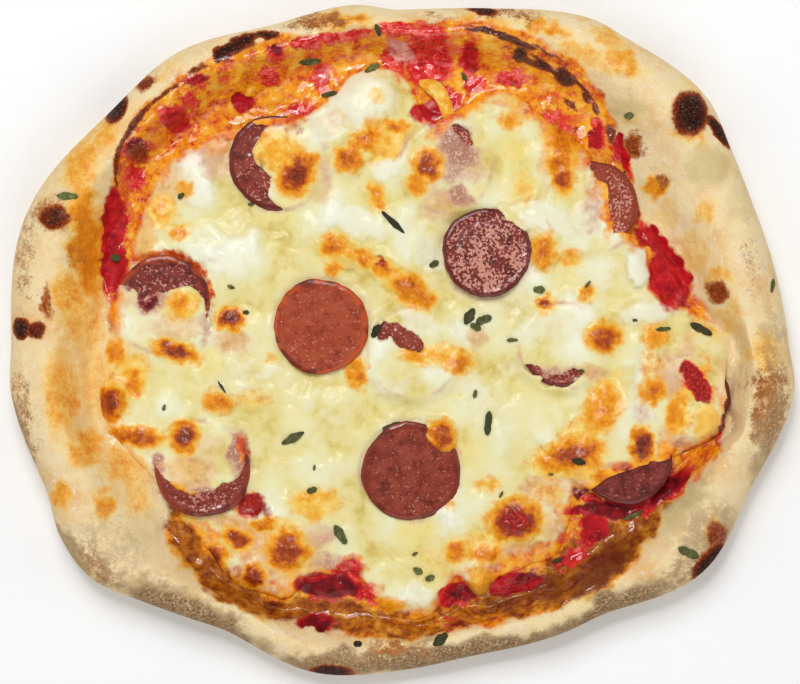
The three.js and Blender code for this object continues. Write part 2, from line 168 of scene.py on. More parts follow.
def mounds(x: Array, y: Array, size: float, seed: int = 0) -> Array:
    """Soft hills, 0 to about 1: a sum of bells round scattered points, each of its own height.

    Args:
        x, y: Places, in mm.
        size: How far apart the points are, in mm.
        seed: Which of the random fields.

    Returns:
        The field at each place.
    """
    total = np.zeros_like(x)
    for far, own in scattered(x, y, size, seed):
        total += (0.15 + 0.85 * own) * np.exp(-(far / 0.48) ** 2)
    return total


def pebbles(x: Array, y: Array, size: float, seed: int = 0) -> Array:
    """Round caps that meet in creases, 0 to 1: the highest of paraboloids round the points.

    Args:
        x, y: Places, in mm.
        size: How far apart the points are, in mm.
        seed: Which of the random fields.

    Returns:
        The field at each place.
    """
    best = np.zeros_like(x)
    for far, own in scattered(x, y, size, seed):
        wide = 0.4 + 0.45 * own
        best = np.maximum(best, (0.4 + 0.6 * own) * (1.0 - (far / wide) ** 2))
    return best


@dataclass(frozen=True)
class Edge:
    """A closed outline as a radius at the angles where it bends."""

    readings: tuple[tuple[float, float], ...]

    def radius(self, angle: Array) -> Array:
        """Radius at each angle: a cubic between readings, with the slope of their neighbours.

        Args:
            angle: Angles, in radians.

        Returns:
            The radius at each angle, in mm.
        """
        degrees = np.degrees(angle) % 360.0
        table = np.array(self.readings)
        table = np.vstack([table[-2:] - (360.0, 0.0), table, table[:2] + (360.0, 0.0)])
        slopes = np.zeros(len(table))
        slopes[1:-1] = (table[2:, 1] - table[:-2, 1]) / (table[2:, 0] - table[:-2, 0])
        index = np.searchsorted(table[:, 0], degrees, side="right") - 1
        span = table[index + 1, 0] - table[index, 0]
        t = (degrees - table[index, 0]) / span
        rise = t * t * (3 - 2 * t)
        leave = t * (1 - t) * (1 - t) * span * slopes[index]
        arrive = t * t * (t - 1) * span * slopes[index + 1]
        return lerp(table[index, 1], table[index + 1, 1], rise) + leave + arrive


@dataclass(frozen=True)
class Spot:
    """A soft patch: middle, half length, half width, turn in degrees, and level or height."""

    x: float
    y: float
    long: float
    short: float
    turn: float = 0.0
    level: float = 1.0

    def reach(self, x: Array, y: Array) -> Array:
        """Distance from the middle in half lengths and half widths: 1 on the ellipse.

        Args:
            x, y: Places, in mm.

        Returns:
            The distance of each place.
        """
        cosine, sine = math.cos(math.radians(self.turn)), math.sin(math.radians(self.turn))
        along = ((x - self.x) * cosine + (y - self.y) * sine) / self.long
        across = ((y - self.y) * cosine - (x - self.x) * sine) / self.short
        return np.hypot(along, across)


def spots(*rows: tuple[float, ...]) -> tuple[Spot, ...]:
    """Spots from rows of numbers."""
    return tuple(Spot(*row) for row in rows)


class Places:
    """Places seen from above, with what is worked out for them only once."""

    def __init__(self, x: Array, y: Array) -> None:
        """Keeps the places and works out their angle and radius.

        Args:
            x, y: Places, in mm.
        """
        self.x, self.y = x, y
        self.angle, self.radius = np.arctan2(y, x), np.hypot(x, y)
        self.sways: dict[float, tuple[Array, Array]] = {}

    def sway(self, size: float) -> tuple[Array, Array]:
        """Two random fields of `size` mm waves, by which patches are made ragged.

        Args:
            size: Length of the waves, in mm.

        Returns:
            The two fields, worked out once for each size.
        """
        if size not in self.sways:
            self.sways[size] = (fractal(self.x, self.y, size, 5, 4),
                                fractal(self.x, self.y, size, 36, 4))
        return self.sways[size]

    def near(self, patch: Spot, limit: float, margin: float) -> Array:
        """Which places may lie within `limit` of a patch, by a square round it."""
        half = limit * max(patch.long, patch.short) + margin
        return np.flatnonzero((np.abs(self.x - patch.x) < half) & (np.abs(self.y - patch.y) < half))

    def bumps(self, patches: tuple[Spot, ...], power: float = 2.0) -> Array:
        """Sum of bell-shaped bumps: level times e to the minus reach to a power.

        Args:
            patches: The bumps.
            power: 2 for a bell, more for a flat top.

        Returns:
            The height at each place, in mm.
        """
        total = np.zeros_like(self.x)
        for patch in patches:
            here = self.near(patch, 2.6, 0.0)
            total[here] += patch.level * np.exp(-patch.reach(self.x[here], self.y[here]) ** power)
        return total

    def cover(self, patches: tuple[Spot, ...], core: float = 0.5, rim: float = 1.25,
              ragged: float = 1.2, size: float = 5.0) -> Array:
        """How strongly patches cover each place: full inside `core`, none past `rim`.

        The places are first shifted `ragged` mm by random fields of `size` mm waves, and the
        strongest patch counts.

        Args:
            patches: The patches.
            core, rim: Where they are full and where they end.
            ragged: How far the places are shifted, in mm.
            size: Length of the waves, in mm.

        Returns:
            The strength at each place, from 0 to the level of the strongest patch.
        """
        sway_x, sway_y = self.sway(size)
        x, y = self.x + ragged * sway_x, self.y + ragged * sway_y
        best = np.zeros_like(self.x)
        for patch in patches:
            here = self.near(patch, rim, 2.0 * ragged)
            reach = patch.reach(x[here], y[here])
            level = patch.level * (1.0 - smoothstep(core, rim, reach))
            best[here] = np.maximum(best[here], level)
        return best


# ------------------------------------------------------------------ outlines and places

OUTER_EDGE = Edge((
    (0, 116), (20, 113.2), (30, 114.5), (39, 117.3), (52.5, 113.7), (60, 112.2), (75, 103.4),
    (90, 99.5), (98, 102), (112.5, 102.6), (127.5, 109.5), (142.5, 111.3), (157.5, 117.6), (165, 118.8),
    (180, 116.9), (187.5, 118), (202.5, 115.4), (210, 117.9), (217.5, 117), (225, 110.3),
    (232.5, 104.7), (240, 101.4), (255, 103), (270, 99), (283, 97), (300, 100.5), (307.5, 102.6),
    (322.5, 114), (337.5, 114), (352.5, 118.8),
))
SAUCE_EDGE = Edge((
    (0, 100), (8, 91), (20, 85), (30, 82.5), (45, 91), (60, 99), (75, 97.8), (98, 94.2), (112.5, 98.4),
    (127.5, 102), (142.5, 102.3), (157.5, 95), (172, 91), (180, 91.4), (188, 94.4), (196, 94.8),
    (203, 92), (210, 89.6), (219, 91.6), (225, 92.8), (232.5, 93.6), (240, 93.2), (247.5, 90.6),
    (270, 89.4), (285, 88), (300, 92.7), (315, 95.4), (330, 95), (345, 102),
))
FLOOR_EDGE = Edge((
    (0, 99.2), (8, 88), (20, 83.5), (30, 81.5), (45, 84), (60, 84), (75, 82), (90, 83), (98, 84.5),
    (112.5, 83), (127.5, 86), (142.5, 91.5), (157.5, 89), (180, 88.4), (195, 91.6), (210, 86.5),
    (232.5, 89.2), (247.5, 86.5), (262, 82), (277.5, 83.2), (300, 84), (315, 84), (330, 88),
    (337.5, 92), (345, 101.2), (352.5, 98.8),
))
CHEESE_EDGE = Edge((
    (0, 98.4), (7.5, 86), (11, 79.5), (17.5, 78.5), (21.5, 79), (25, 76), (30, 73), (36, 76.6),
    (41, 79), (48, 80), (55, 79.4), (67.5, 81.6), (75, 73.2), (82.5, 66.6), (90, 81.3), (97.5, 83),
    (112.5, 74.4), (127.5, 81), (142.5, 89.5), (157.5, 86.7), (172, 87.4), (180, 88.6), (188, 91.8),
    (196, 92.2), (202, 88.8), (210, 85.4), (225, 85.5), (235, 88), (243, 86.2), (246.5, 84.6),
    (249, 76.5), (254, 73), (258.5, 71.2), (262, 76), (266, 80.5), (272, 83.2), (277, 82.6), (281, 77),
    (284, 74), (287, 80), (291.5, 77.6), (300, 78), (305, 79.6), (311, 76), (318, 71.4), (324, 73),
    (330, 77.4), (337.5, 90), (345, 100.2), (352.5, 97.5),
))

# Relief of the dough, of crushed tomato and of the cheese, as heights in mm.
CRUST_BUMPS = spots(
    (85.8, 67.5, 6.5, 6, 0, 1.7), (-102.9, 36, 5.5, 4.5, 10, 1.4), (-85.5, 69.9, 6, 4, 60, 1.3),
    (-110, 3.6, 5, 4, 0, 1), (25.2, 97, 7, 3, 0, 1), (94.2, -64.2, 7, 7, 0, 1.6),
    (65.7, 71, 13, 8, -35, 1.8), (70.2, 57.3, 4, 4.5, 0, -3), (-91.8, -67.2, 14, 9, -40, 1.6),
    (-108, -25, 9, 14, 0, 1.2), (-60, -84, 14, 6, -25, 1.1), (-16, -96, 12, 5, 0, 1.4),
    (46, -86, 14, 6, 20, 1.2), (107, -8, 7, 16, 0, 1.5), (104, 32, 6, 14, 15, 1.3),
    (-66, 84, 16, 6, 35, 1.3), (-16, 96, 14, 4, 0, 1), (-62, -71, 12, 8, -30, -1.2),
    (99, -42, 8, 10, -20, 1.2), (-99, 12, 7, 9, 0, -0.9),
)
SAUCE_BUMPS = spots(
    (-68.5, 65.4, 5, 3.4, 15, 0.9), (-54.5, 66.5, 4, 3.2, 0, 1), (-39.6, 79, 4, 2.6, 0, 0.8),
    (-55, 64, 7, 4, 20, 0.8), (-31, 70, 4, 2.4, 0, 0.7), (0, 84, 9, 7, 0, 1.2), (10, 78, 5, 6, 0, 0.9),
    (33, 79.5, 6, 3, -10, 0.9), (46.2, 66.5, 7, 5, -30, 1), (58, 58.8, 3, 4, 0, 0.7),
    (79.5, 20.7, 5, 6.5, 20, 1.1), (-86.4, 30, 3, 8, 0, 0.8), (-20.4, -74, 10, 3, 0, 1),
    (-25, -85.5, 8, 2.4, 0, 1), (60, -69, 12, 4, 30, 0.9), (82, -46, 5, 9, -30, 0.8),
)
CHEESE_LUMPS = spots(
    (-36, 56.5, 8, 6, 0, 1.2), (-31, 49.5, 6, 6, 0, 0.9), (-66, 8, 6, 6, 0, 0.9),
    (-62, -37, 8, 6, 0, 1), (61, -22, 8, 8, 0, 1), (82, -18, 7, 9, 0, 0.9), (10, 51, 6, 7, 0, 0.9),
    (9, -10.5, 14, 6, 0, 0.9), (49, 5, 13, 8, 0, 0.8), (-12, 57.3, 9, 5, 40, 1.2),
    (-7.2, 21.3, 17, 5, -30, 1.4), (-9.6, 73.5, 10, 9, 0, 1.5), (71.4, 22.8, 5, 7, 0, 1.6),
    (71, 8.7, 9, 4, 10, 1.4), (72, -8, 5, 14, -8, 1.5), (91.2, -26, 5.5, 7, 0, 1.9),
    (33.6, -54, 9, 8, 0, 1.9), (-87.3, -18.6, 5.5, 5.5, 0, 1.9), (-34.8, -62, 7.5, 7, 0, 1.5),
    (-27.3, -46.8, 8, 4, 0, 1.2), (23.4, -71, 4, 5, 0, 1.5), (52.2, -35, 8, 6, 0, 1.4),
    (42.9, 26.7, 4.5, 5.5, 0, 1.2), (48.3, 56, 5, 9, 0, 0.9), (-40, 25, 18, 13, 20, 0.7),
    (-30, -22, 16, 8, -10, 0.7), (25, -28, 8, 16, 10, 0.8), (28.8, 71, 8, 7, 0, 1.3),
    (45, 37, 12, 6, -20, 0.9), (-81, -29, 9, 3, 15, 1), (-64.8, -28.5, 4, 5, 0, 1),
    (72, -31, 4, 5.6, 0, 1.3), (-54, -18.6, 5.5, 4, 0, 0.8), (61, 0.6, 6, 5.5, 0, 1),
    (12, -28.5, 5, 5, 0, 0.9), (16.5, -63, 3.5, 4, 0, 0.9),
)

# Browning of the cheese, 0.3 yellow to 0.9 dark brown.
TOASTED = spots(
    (-10.8, 60.5, 7, 3.6, 45, 0.56), (-15.5, 54.5, 4.6, 4.2, 0, 0.64), (-1.8, 64.2, 4.6, 2.2, 0, 0.5),
    (-6, 58.5, 5, 4, 40, 0.34), (8.1, 52.8, 4.4, 4.8, 0, 0.84), (4.8, 46.6, 3.4, 3.4, 0, 0.5),
    (-31.5, 49.5, 5, 6.2, -30, 0.84), (-27.5, 53, 3, 3.4, 0, 0.66), (-36.2, 56.5, 7.6, 5.8, 0, 0.34),
    (-40.5, 61, 3.4, 2, 30, 0.48), (-20.2, 28.6, 4.4, 3.6, -30, 0.56), (-12, 25.2, 5.4, 3, -30, 0.5),
    (-5.5, 22.2, 4, 2.6, -30, 0.6), (2.2, 16.2, 6, 4.6, -30, 0.62), (6.2, 12.6, 4.2, 3.6, 0, 0.6),
    (-20, 21.6, 2.8, 2.4, 0, 0.46), (-7.2, 43.5, 2.6, 5, 20, 0.46), (42.6, 26.8, 4.2, 5.4, 0, 0.62),
    (50, 25, 5, 2.8, 0, 0.38), (49.6, 62, 7, 6, 0, 0.6), (48, 54.5, 4.4, 7, 0, 0.58),
    (46.6, 68, 6, 3.6, -20, 0.66), (48.6, 48.4, 3.2, 4.4, 0, 0.72), (43.2, 11.4, 2.8, 2.6, 0, 0.8),
    (55.2, 14.4, 2.8, 2.8, 0, 0.5), (32.7, 65.8, 4, 3, 0, 0.42), (60.8, 1, 5.4, 4.6, 0, 0.72),
    (76.2, 1, 4.4, 4.2, 0, 0.42), (72, -31.4, 3.6, 5.4, 0, 0.92), (75.2, -15, 4.2, 4.6, 0, 0.56),
    (82.2, -21.6, 3, 6.6, -10, 0.5), (52, -34, 8.4, 5, 10, 0.76), (45, -36.5, 5, 4, 0, 0.5),
    (61, -41.4, 5, 3, -10, 0.54), (65.4, -42.3, 2.6, 2.4, 0, 0.5), (60.5, -20, 5.5, 8.5, -20, 0.5),
    (34.2, -53.7, 7.6, 6.2, 0, 0.92), (16.5, -63, 3.2, 3.6, 0, 0.6), (25.2, -64, 5, 3.2, 0, 0.58),
    (23.4, -72.3, 4, 4.6, 0, 0.36), (12.4, -28.6, 4.2, 5.2, 0, 0.74), (9.6, -31.5, 4, 3, -30, 0.6),
    (4.4, -4, 5, 2.8, -10, 0.46), (17.4, -6.4, 4.4, 3.8, 0, 0.54), (10.6, -4.4, 5, 3, 0, 0.34),
    (-13.2, -9.8, 3.2, 5.6, 10, 0.54), (-54.6, -18.4, 4.8, 3.4, -15, 0.56),
    (-67.5, -3, 6.6, 2.8, -18, 0.84), (-85.8, -3.4, 3.4, 3.8, 0, 0.52),
    (-87.3, -18.6, 4.8, 5.6, 0, 0.82), (-80.4, -12.8, 3, 4.6, 0, 0.54), (-80, -28.6, 9, 3, -6, 0.7),
    (-87.3, -32, 3, 3.6, 0, 0.5), (-64.8, -28.6, 3.8, 4.6, 0, 0.9), (-63.5, -38.6, 6, 4, 0, 0.16),
    (-66, -44.6, 4.6, 1.4, -16, 0.6), (-51.4, 6.4, 4, 3.4, 0, 0.88), (-66, 10.8, 4.4, 4.4, 0, 0.45),
    (-66.6, 32.6, 3, 2.6, 0, 0.5), (-72, 39.6, 3.2, 4.8, 0, 0.4), (-64.5, 45.3, 3, 2.8, 0, 0.42),
    (-26.2, -46.8, 7, 3, 6, 0.34), (-26, -51.8, 3.4, 3, 0, 0.32), (-56.2, -65.4, 4, 4.4, 0, 0.85),
    (-44.4, -70.8, 3.4, 3.4, 0, 0.9), (-34.2, -62.6, 6, 6.4, 20, 0.78),
    (-40.8, -54.8, 4.2, 2.4, 10, 0.56), (-49.4, -59.2, 4.6, 3, -30, 0.8), (-5, -79.6, 7, 2.4, 5, 0.46),
    (-6.4, 73.6, 2.2, 2.6, 0, 0.2), (26.4, -43, 4, 3, 0, 0.3), (83, 26.8, 2.8, 2.4, 0, 0.54),
    (91.2, 2.8, 3.6, 2, -20, 0.4), (-39, -5, 2, 2, 0, 0.3), (15, -49, 2, 2, 0, 0.34),
    (-70, -58, 3, 2, 30, 0.42), (36, 46, 3, 6, 10, 0.24),
)
RED_IN_CHEESE = spots(
    (-6.3, 24, 1.8, 2.2, 0, 0.9), (49, 64, 5.4, 4.6, 20, 0.5), (-31.5, 63.4, 5, 2.8, 0, 0.5),
    (-44.7, -49.3, 5.4, 5, 0, 0.9), (-36, -63.5, 4.5, 5, 0, 0.42), (-15.5, -68.4, 6, 5, -20, 0.55),
    (60.6, 0.2, 3, 3, 0, 0.35), (76, -16.5, 3, 3.4, 0, 0.35), (34.2, -53.7, 6.2, 5, 0, 0.85),
    (-87.3, -18.6, 3, 3.6, 0, 0.3), (42, -60.5, 8, 4, 20, 0.3), (88.4, -12.6, 8, 3, -60, 1.2),
    (-3, -80, 5, 1.6, 0, 0.3), (-25, -71, 8, 2, 0, 0.8), (-41, -51, 5, 2.6, -10, 0.6),
)
# Pink and mauve where sausage or tomato shows through thin cheese.
BLUSHING = spots(
    (-56.7, 55, 6, 7.5, 0, 0.55), (12.5, 63.5, 6, 3, -20, 1), (17, 57, 7, 9, 30, 1),
    (16, 51, 5, 5, 0, 0.8), (22, 52, 4, 7, 10, 0.6), (17.5, 43.5, 6, 3.6, -30, 0.9),
    (12, 46, 4, 4, 0, 0.5), (-75, 12.5, 6.4, 5.4, -20, 1), (-24, -59, 6, 5.6, 0, 0.6),
    (33, -63.4, 7.5, 4, 10, 0.4), (80, -13, 7, 7, 0, 0.55), (53, 57, 7, 10, 0, 0.35),
    (66, -40, 12, 4, 14, 0.8), (83, -31, 4, 4, 0, 0.7), (-60, -45.5, 11, 3, 0, 0.85),
    (-48.6, -34, 4, 9, 6, 1), (-22, -67, 8, 4, 0, 0.7), (3.5, -13, 8, 3, 0, 0.25),
    (47, -9.5, 9, 3, 0, 0.8), (57, 40, 3.4, 10, 0, 0.6), (-74, 58, 5, 3, 0, 0.3),
    (38, -58, 12, 6, 0, 0.25), (72, -20, 3.4, 9, 0, 0.5), (-22.5, 52, 3, 9, 0, 0.5),
    (-37, 66, 8, 2.6, 0, 0.8), (-72.5, -37, 2.4, 4.6, 0, 0.9), (-58.6, 3, 2.4, 9, 0, 0.6),
    (-66, 19, 9, 3, -10, 0.7), (60, -47, 7, 4, 10, 0.6), (-58, -33, 9, 6, 0, 0.2),
)
# Thick, white, still unmelted cheese. The rows at (-59, 27) and (-40, -9) are painted highlights.
WHITE_CHEESE_AND_HIGHLIGHT = spots(
    (-12.5, 73.5, 12, 9.6, -12, 1), (-22, 65, 8, 6, 30, 0.9), (71.4, 22.8, 4.6, 8, 0, 1),
    (74, 8.4, 10, 4, 8, 0.9), (73, -13, 4.6, 15, -8, 0.9), (44, 37, 13, 6, -20, 0.8),
    (53, 33, 6, 9, 0, 0.7), (-2, -1, 8, 5, 0, 0.5), (23, -18, 6, 12, 10, 0.6), (-60, 45, 6, 6, 0, 0.6),
    (3, 31, 6, 8, 0, 0.6), (-50, -9, 8, 6, 0, 0.5), (33, 12, 12, 8, 20, 0.5), (14, -62, 8, 10, 20, 0.4),
    (-58, -30, 7, 3.5, 10, 0.5), (38, 2, 6, 5, 0, 0.6), (-14, 36, 14, 5, -20, 0.9),
    (8, 26, 8, 6, -40, 0.7), (6, 5, 10, 4, -30, 0.7), (-20, -22, 7, 5, 0, 0.4),
    (-59, 27, 8, 3.4, 0, 0.8), (5, -76, 6, 4, 0, 0.8), (58, 20, 7, 8, 0, 0.7), (46, 5, 10, 6, 0, 0.6),
    (-40, -9, 5, 3, 20, 0.6), (-3, 52, 7, 4, 30, 0.9), (-4, -14, 8, 4, 0, 0.6), (33, -8, 6, 3, 10, 0.5),
)
# Melted butterfat: yellow and a little green. The rows at (-31, -24) and (41, -14) are painted shade on
# the cheese.
FAT_AND_SHADE = spots(
    (-46, 24, 16, 7, 0, 0.3), (36.3, 43, 10, 7, 20, 0.7), (33, 57, 10, 8, 0, 0.6),
    (-31, -33, 10, 4, 10, 0.3), (-31, -24, 8, 5, 0, 0.5), (41, -14, 8, 5, 0, 0.6),
    (-58, -7, 11, 5, 0, 0.7), (39.6, -23, 9, 7, 0, 0.6), (4, -57, 8, 8, 0, 0.9),
    (11, -66, 7, 8, 0, 0.8), (-10, 40, 10, 6, -20, 0.5), (22, -35, 6, 10, 0, 0.6),
    (95, 8, 6, 10, 20, 1), (-20, -52, 7, 8, 0, 0.4), (60, -8, 8, 5, 0, 0.5), (-80, 0, 8, 10, 0, 0.5),
    (52, 20, 9, 5, 0, 0.6), (-35, 40, 8, 5, 30, 0.6), (-10, -30, 8, 14, 0, 0.4),
)
# Thin beige and pinkish film of cheese, fat and meat juice.
FILM = spots(
    (-47, -58, 12, 5.5, -35, 0.95), (-45, -63, 9, 5, -30, 0.9), (-34, -73, 9, 5, -35, 0.9),
    (-27, -60, 7, 6, 0, 0.7), (-63, -39.5, 9, 6.4, 0, 1), (-57, -31, 6, 5, 0, 0.5),
    (-71, 47, 7, 12, 0, 0.6), (-77.5, 34, 4.4, 11, 0, 0.9), (-60, 61.5, 8, 3, 20, 0.9),
    (-55, 54, 6, 8, 0, 0.7), (-85, 12, 5, 5, 0, 0.8), (-68, 4, 10, 5, 0, 0.7), (42, -45, 8, 6, 0, 1),
    (50, -42.6, 8, 4, -12, 1), (47.5, -56, 5, 7, 0, 0.8), (38, -63.4, 10, 4, 10, 0.8),
    (81, -10, 6, 8.4, 0, 1), (80, -30, 4, 5, 0, 0.7), (57, -9.5, 7, 3, 0, 0.7),
    (43.5, 54, 3, 7, 0, 0.7), (54, 56, 3.4, 7, 0, 0.8), (6, -84, 11, 2.6, 0, 0.8),
    (13, -80, 5, 4, 0, 0.7), (23, 1, 4, 5, 0, 0.7), (11, 41, 7, 6, 0, 0.7), (62, -27, 4, 6, 0, 0.4),
    (-24, 47, 4, 9, 0, 0.5), (86, -2, 5, 6, 0, 0.6), (-81, 20, 4, 8, 0, 0.5), (-20, 84, 7, 4, 20, 0.6),
    (-50, 0, 7, 5, 0, 0.8), (31, -64, 6, 4, 0, 0.6), (2, -28, 9, 3, 0, 0.3),
)
# Cheese turned gold by fat and heat, round the browned spots and elsewhere.
AMBER = spots(
    (-80, -8, 6, 6, 0, 0.8), (-86, -30, 9, 6, 0, 0.8), (-72, 39, 5.4, 5.4, 0, 1),
    (-45, -17, 7, 4, 0, 0.7), (-36.5, 56.5, 8.4, 6.4, 0, 1), (-3.5, 58.5, 8, 4.6, 40, 0.9),
    (28.8, 73.6, 8, 3.6, 0, 0.5), (60, -20, 5, 10, -20, 1), (53, -28, 9, 5, 30, 1),
    (45, -36, 8, 6, 0, 0.9), (57, -38.8, 9, 3.6, -5, 1), (75, -7, 4, 5, 0, 0.9),
    (83.4, -22, 4.4, 8, 0, 1), (91.4, -25.4, 6.4, 8.6, 0, 0.4), (25, -62, 10, 6, 0, 0.8),
    (23.5, -72, 5, 6, 0, 1), (-26, -49, 9, 5.4, 0, 0.9), (-24, -68.6, 4, 2, 0, 1),
    (-86, -8, 5, 8, 0, 0.9), (-84, -38, 5, 9, 10, 0.9), (-92, -4, 4, 10, 0, 0.8),
    (11, -4.5, 13, 4.4, -4, 0.9), (48, 56, 7, 11, 0, 0.7), (-66, 11, 5.6, 5, 0, 1),
    (36, 46, 5, 6, 10, 0.5), (-87, -14, 5, 9, 0, 0.8), (56, 16, 6, 4, 0, 0.4), (-77, 26, 5, 4, 0, 0.6),
    (-87, -46, 5, 9, 20, 0.8), (26.4, -43, 5, 4, 0, 0.7), (44, -46, 6, 4, 0, 0.8),
    (-80, -52, 6, 6, 0, 0.7), (66, -42, 3.4, 3.2, 0, 0.8), (84, -34, 5, 6, 0, 0.8),
    (-88, 6, 5, 9, 0, 0.7), (11, -66, 6, 6, 0, 0.5),
)
# Thick pieces of cheese with steep sides.
CHUNKS = spots(
    (91.8, -25.6, 4.2, 7.6, 8, 1.5), (-12, 73.6, 11.5, 9.6, -12, 0.9), (71.4, 22.6, 3.8, 7, 0, 1.2),
    (73.4, -13, 3.2, 13, -8, 1), (72, -31.4, 3.8, 5.6, 0, 1), (-87, -18.6, 4.6, 5.2, 0, 1.1),
    (34.2, -53.7, 8, 6.8, 0, 1), (23.5, -72.6, 3.4, 5, -25, 1.2), (61, -41.6, 6, 2, -8, 0.9),
    (65.8, -42.4, 2.6, 2.4, 0, 0.8), (8.2, 52.4, 4.8, 5, 0, 0.8), (42.6, 26.8, 4.2, 5.4, 0, 0.8),
    (-31.5, 49.5, 5.6, 6.6, -30, 0.9), (-64.8, -28.6, 4, 4.6, 0, 0.9), (-56.2, -65.4, 4, 4.2, 0, 0.9),
    (-44.4, -70.8, 3.8, 3.6, 0, 1), (60.8, 1, 5.4, 4.8, 0, 0.8), (12.4, -28.6, 4.4, 5.4, 0, 0.8),
    (-1.5, 18.6, 11, 4, -32, 0.8), (-19, 26.6, 7, 4.4, -30, 0.7), (-14, 56, 8, 5, 50, 0.7),
    (-3, 61, 6, 4.6, 40, 0.6), (11, -5, 11, 3.8, -4, 0.7), (-34.4, -62.4, 6.4, 6, 20, 0.8),
    (-54.6, -18.2, 5.2, 4.2, 0, 0.7), (-64.6, 10.4, 3.8, 4.4, 0, 0.9), (76, 1, 4, 3.6, 0, 0.7),
    (75, -14.6, 4, 4.6, 0, 0.6), (-38, 57, 6, 5, 0, 0.7), (48.6, 48.4, 3.4, 4.8, 0, 0.8),
    (58.6, -50.5, 2, 3.6, -20, 1), (79, 13, 3.4, 2.6, 0, 0.8), (-13.2, -9.8, 3.4, 5.6, 10, 0.6),
    (28.8, 72.6, 7, 6, 0, 0.6), (44, 37, 11, 4, -22, 0.6), (-55, -9, 10, 3.4, 10, 0.5),
)
# Smooth golden cheese, where the fat has gathered.
BUTTERY = spots(
    (91.8, -25.6, 4.8, 8, 8, 1), (28.4, 75.4, 7, 3.4, 0, 0.6), (-4.4, 58.6, 7.4, 3.6, 42, 0.95),
    (-37.4, 57, 6.4, 5.2, 0, 0.7), (76, 1, 3.2, 3, 0, 0.8), (-24, -68.6, 4, 2, 0, 1),
    (23.4, -74, 3.2, 4.6, -20, 0.9), (-65, 10.6, 3.6, 4.6, 0, 0.9), (-26, -49, 8.4, 4.4, 6, 0.8),
    (-72, 39.6, 4.4, 5.4, 0, 0.85), (-80.4, -9, 5, 6.4, 0, 0.75), (56, -27, 5, 8, -30, 0.5),
    (11, -5, 12, 3.4, -4, 0.5), (-1.5, 19, 12, 5, -32, 0.5), (48.4, 57, 5, 9, 0, 0.4),
    (51, -39.4, 9, 2.6, -8, 0.7), (25, -60, 9, 4, 0, 0.4), (-90, 2, 4, 8, 0, 0.6),
    (-90, -30, 4, 9, 0, 0.5), (57, 14.6, 4, 3, 0, 0.5), (-7, 73.6, 2.6, 3, 0, 0.6),
    (-46, -18, 5, 3.4, 0, 0.5), (35, 57, 5, 5, 0, 0.4), (-20, 24, 6, 5, -30, 0.5),
    (-77, 30, 4, 8, 0, 0.5), (43, 30, 6, 4, 0, 0.4), (-37, -55, 6, 3.4, 10, 0.6),
    (63, -14, 3, 8, -20, 0.5), (-85, -46, 4, 7, 20, 0.5),
)
# Dark wine red of wet meat under a thin skin of oil.
WINE = spots(
    (-75.6, 12.6, 3.8, 5, 0, 0.9), (-70, 20.4, 7, 2.4, -14, 0.7), (-80, 17.6, 5, 2, 30, 0.7),
    (56.5, -47, 7, 2.8, -20, 1), (84.6, -36.6, 6.6, 2.8, 52, 0.9), (75.6, -38, 3.4, 3, 0, 0.5),
    (-70, -48.6, 4, 1.8, -30, 0.6), (-41.6, 52.4, 1.4, 6, 10, 0.6), (96.6, -27, 1.4, 6.4, -6, 0.8),
    (-57.4, 7, 1, 7, 6, 0.5), (-60.4, 1.6, 3, 0.8, 30, 0.5), (19, 62, 6, 2.6, -50, 0.5),
    (-46, -34, 2, 7, 6, 0.5),
)
# Orange red arcs of casing and tomato at the rims of covered slices.
ARCS = spots(
    (58, 62, 4.6, 6, 0, 0.6), (-75, 25.4, 4.6, 2, 10, 0.8), (-68, 25.6, 5, 2.2, -8, 0.9),
    (-61.6, 21.8, 5, 2, -45, 0.95), (-57.6, 15, 1.8, 5, 12, 0.9), (-33, 66.4, 6, 1.2, 0, 0.8),
    (-47.4, -32, 2.2, 6, 8, 0.8), (-70.6, -27, 3, 1.2, 40, 0.5),
)
# Where the cheese has run thin, so that what is under it shows.
THIN_CHEESE = spots(
    (-42, -61, 17, 8, -36, 0.5), (-30, -71, 12, 5, -20, 0.5), (-46, -49, 6, 5, 0, 0.9),
    (-75, 55, 7, 5, 40, 0.6), (-62, 62, 14, 4.4, 34, 0.65), (-84, 40, 4, 12, 10, 0.5),
    (-22, -74, 12, 5.4, 4, 1), (-15, -68, 6, 4, 0, 0.7), (52, 62, 9, 5, -20, 0.7),
    (60, 54, 6, 6, 0, 0.6), (60, -47, 9, 4, 20, 0.8), (36, -66, 17, 4, 15, 0.75),
    (88, -12, 4, 9, -30, 0.95), (-70, 23, 15, 4, -8, 0.9), (67, 46, 6, 6, 0, 0.9),
    (-46, 65, 12, 4, 10, 0.7), (-20, 66, 6, 4, 40, 0.5), (20, 71, 8, 3, -20, 0.5),
    (5, 60, 3, 5, 0, 0.3), (58, -57, 5, 4, 30, 0.8), (80, -33, 4, 5, 0, 0.8),
    (-68, -49, 9, 4, -30, 0.6), (72, 30, 5, 4, -40, 0.7), (-88, 5, 3, 14, 0, 0.3),
)
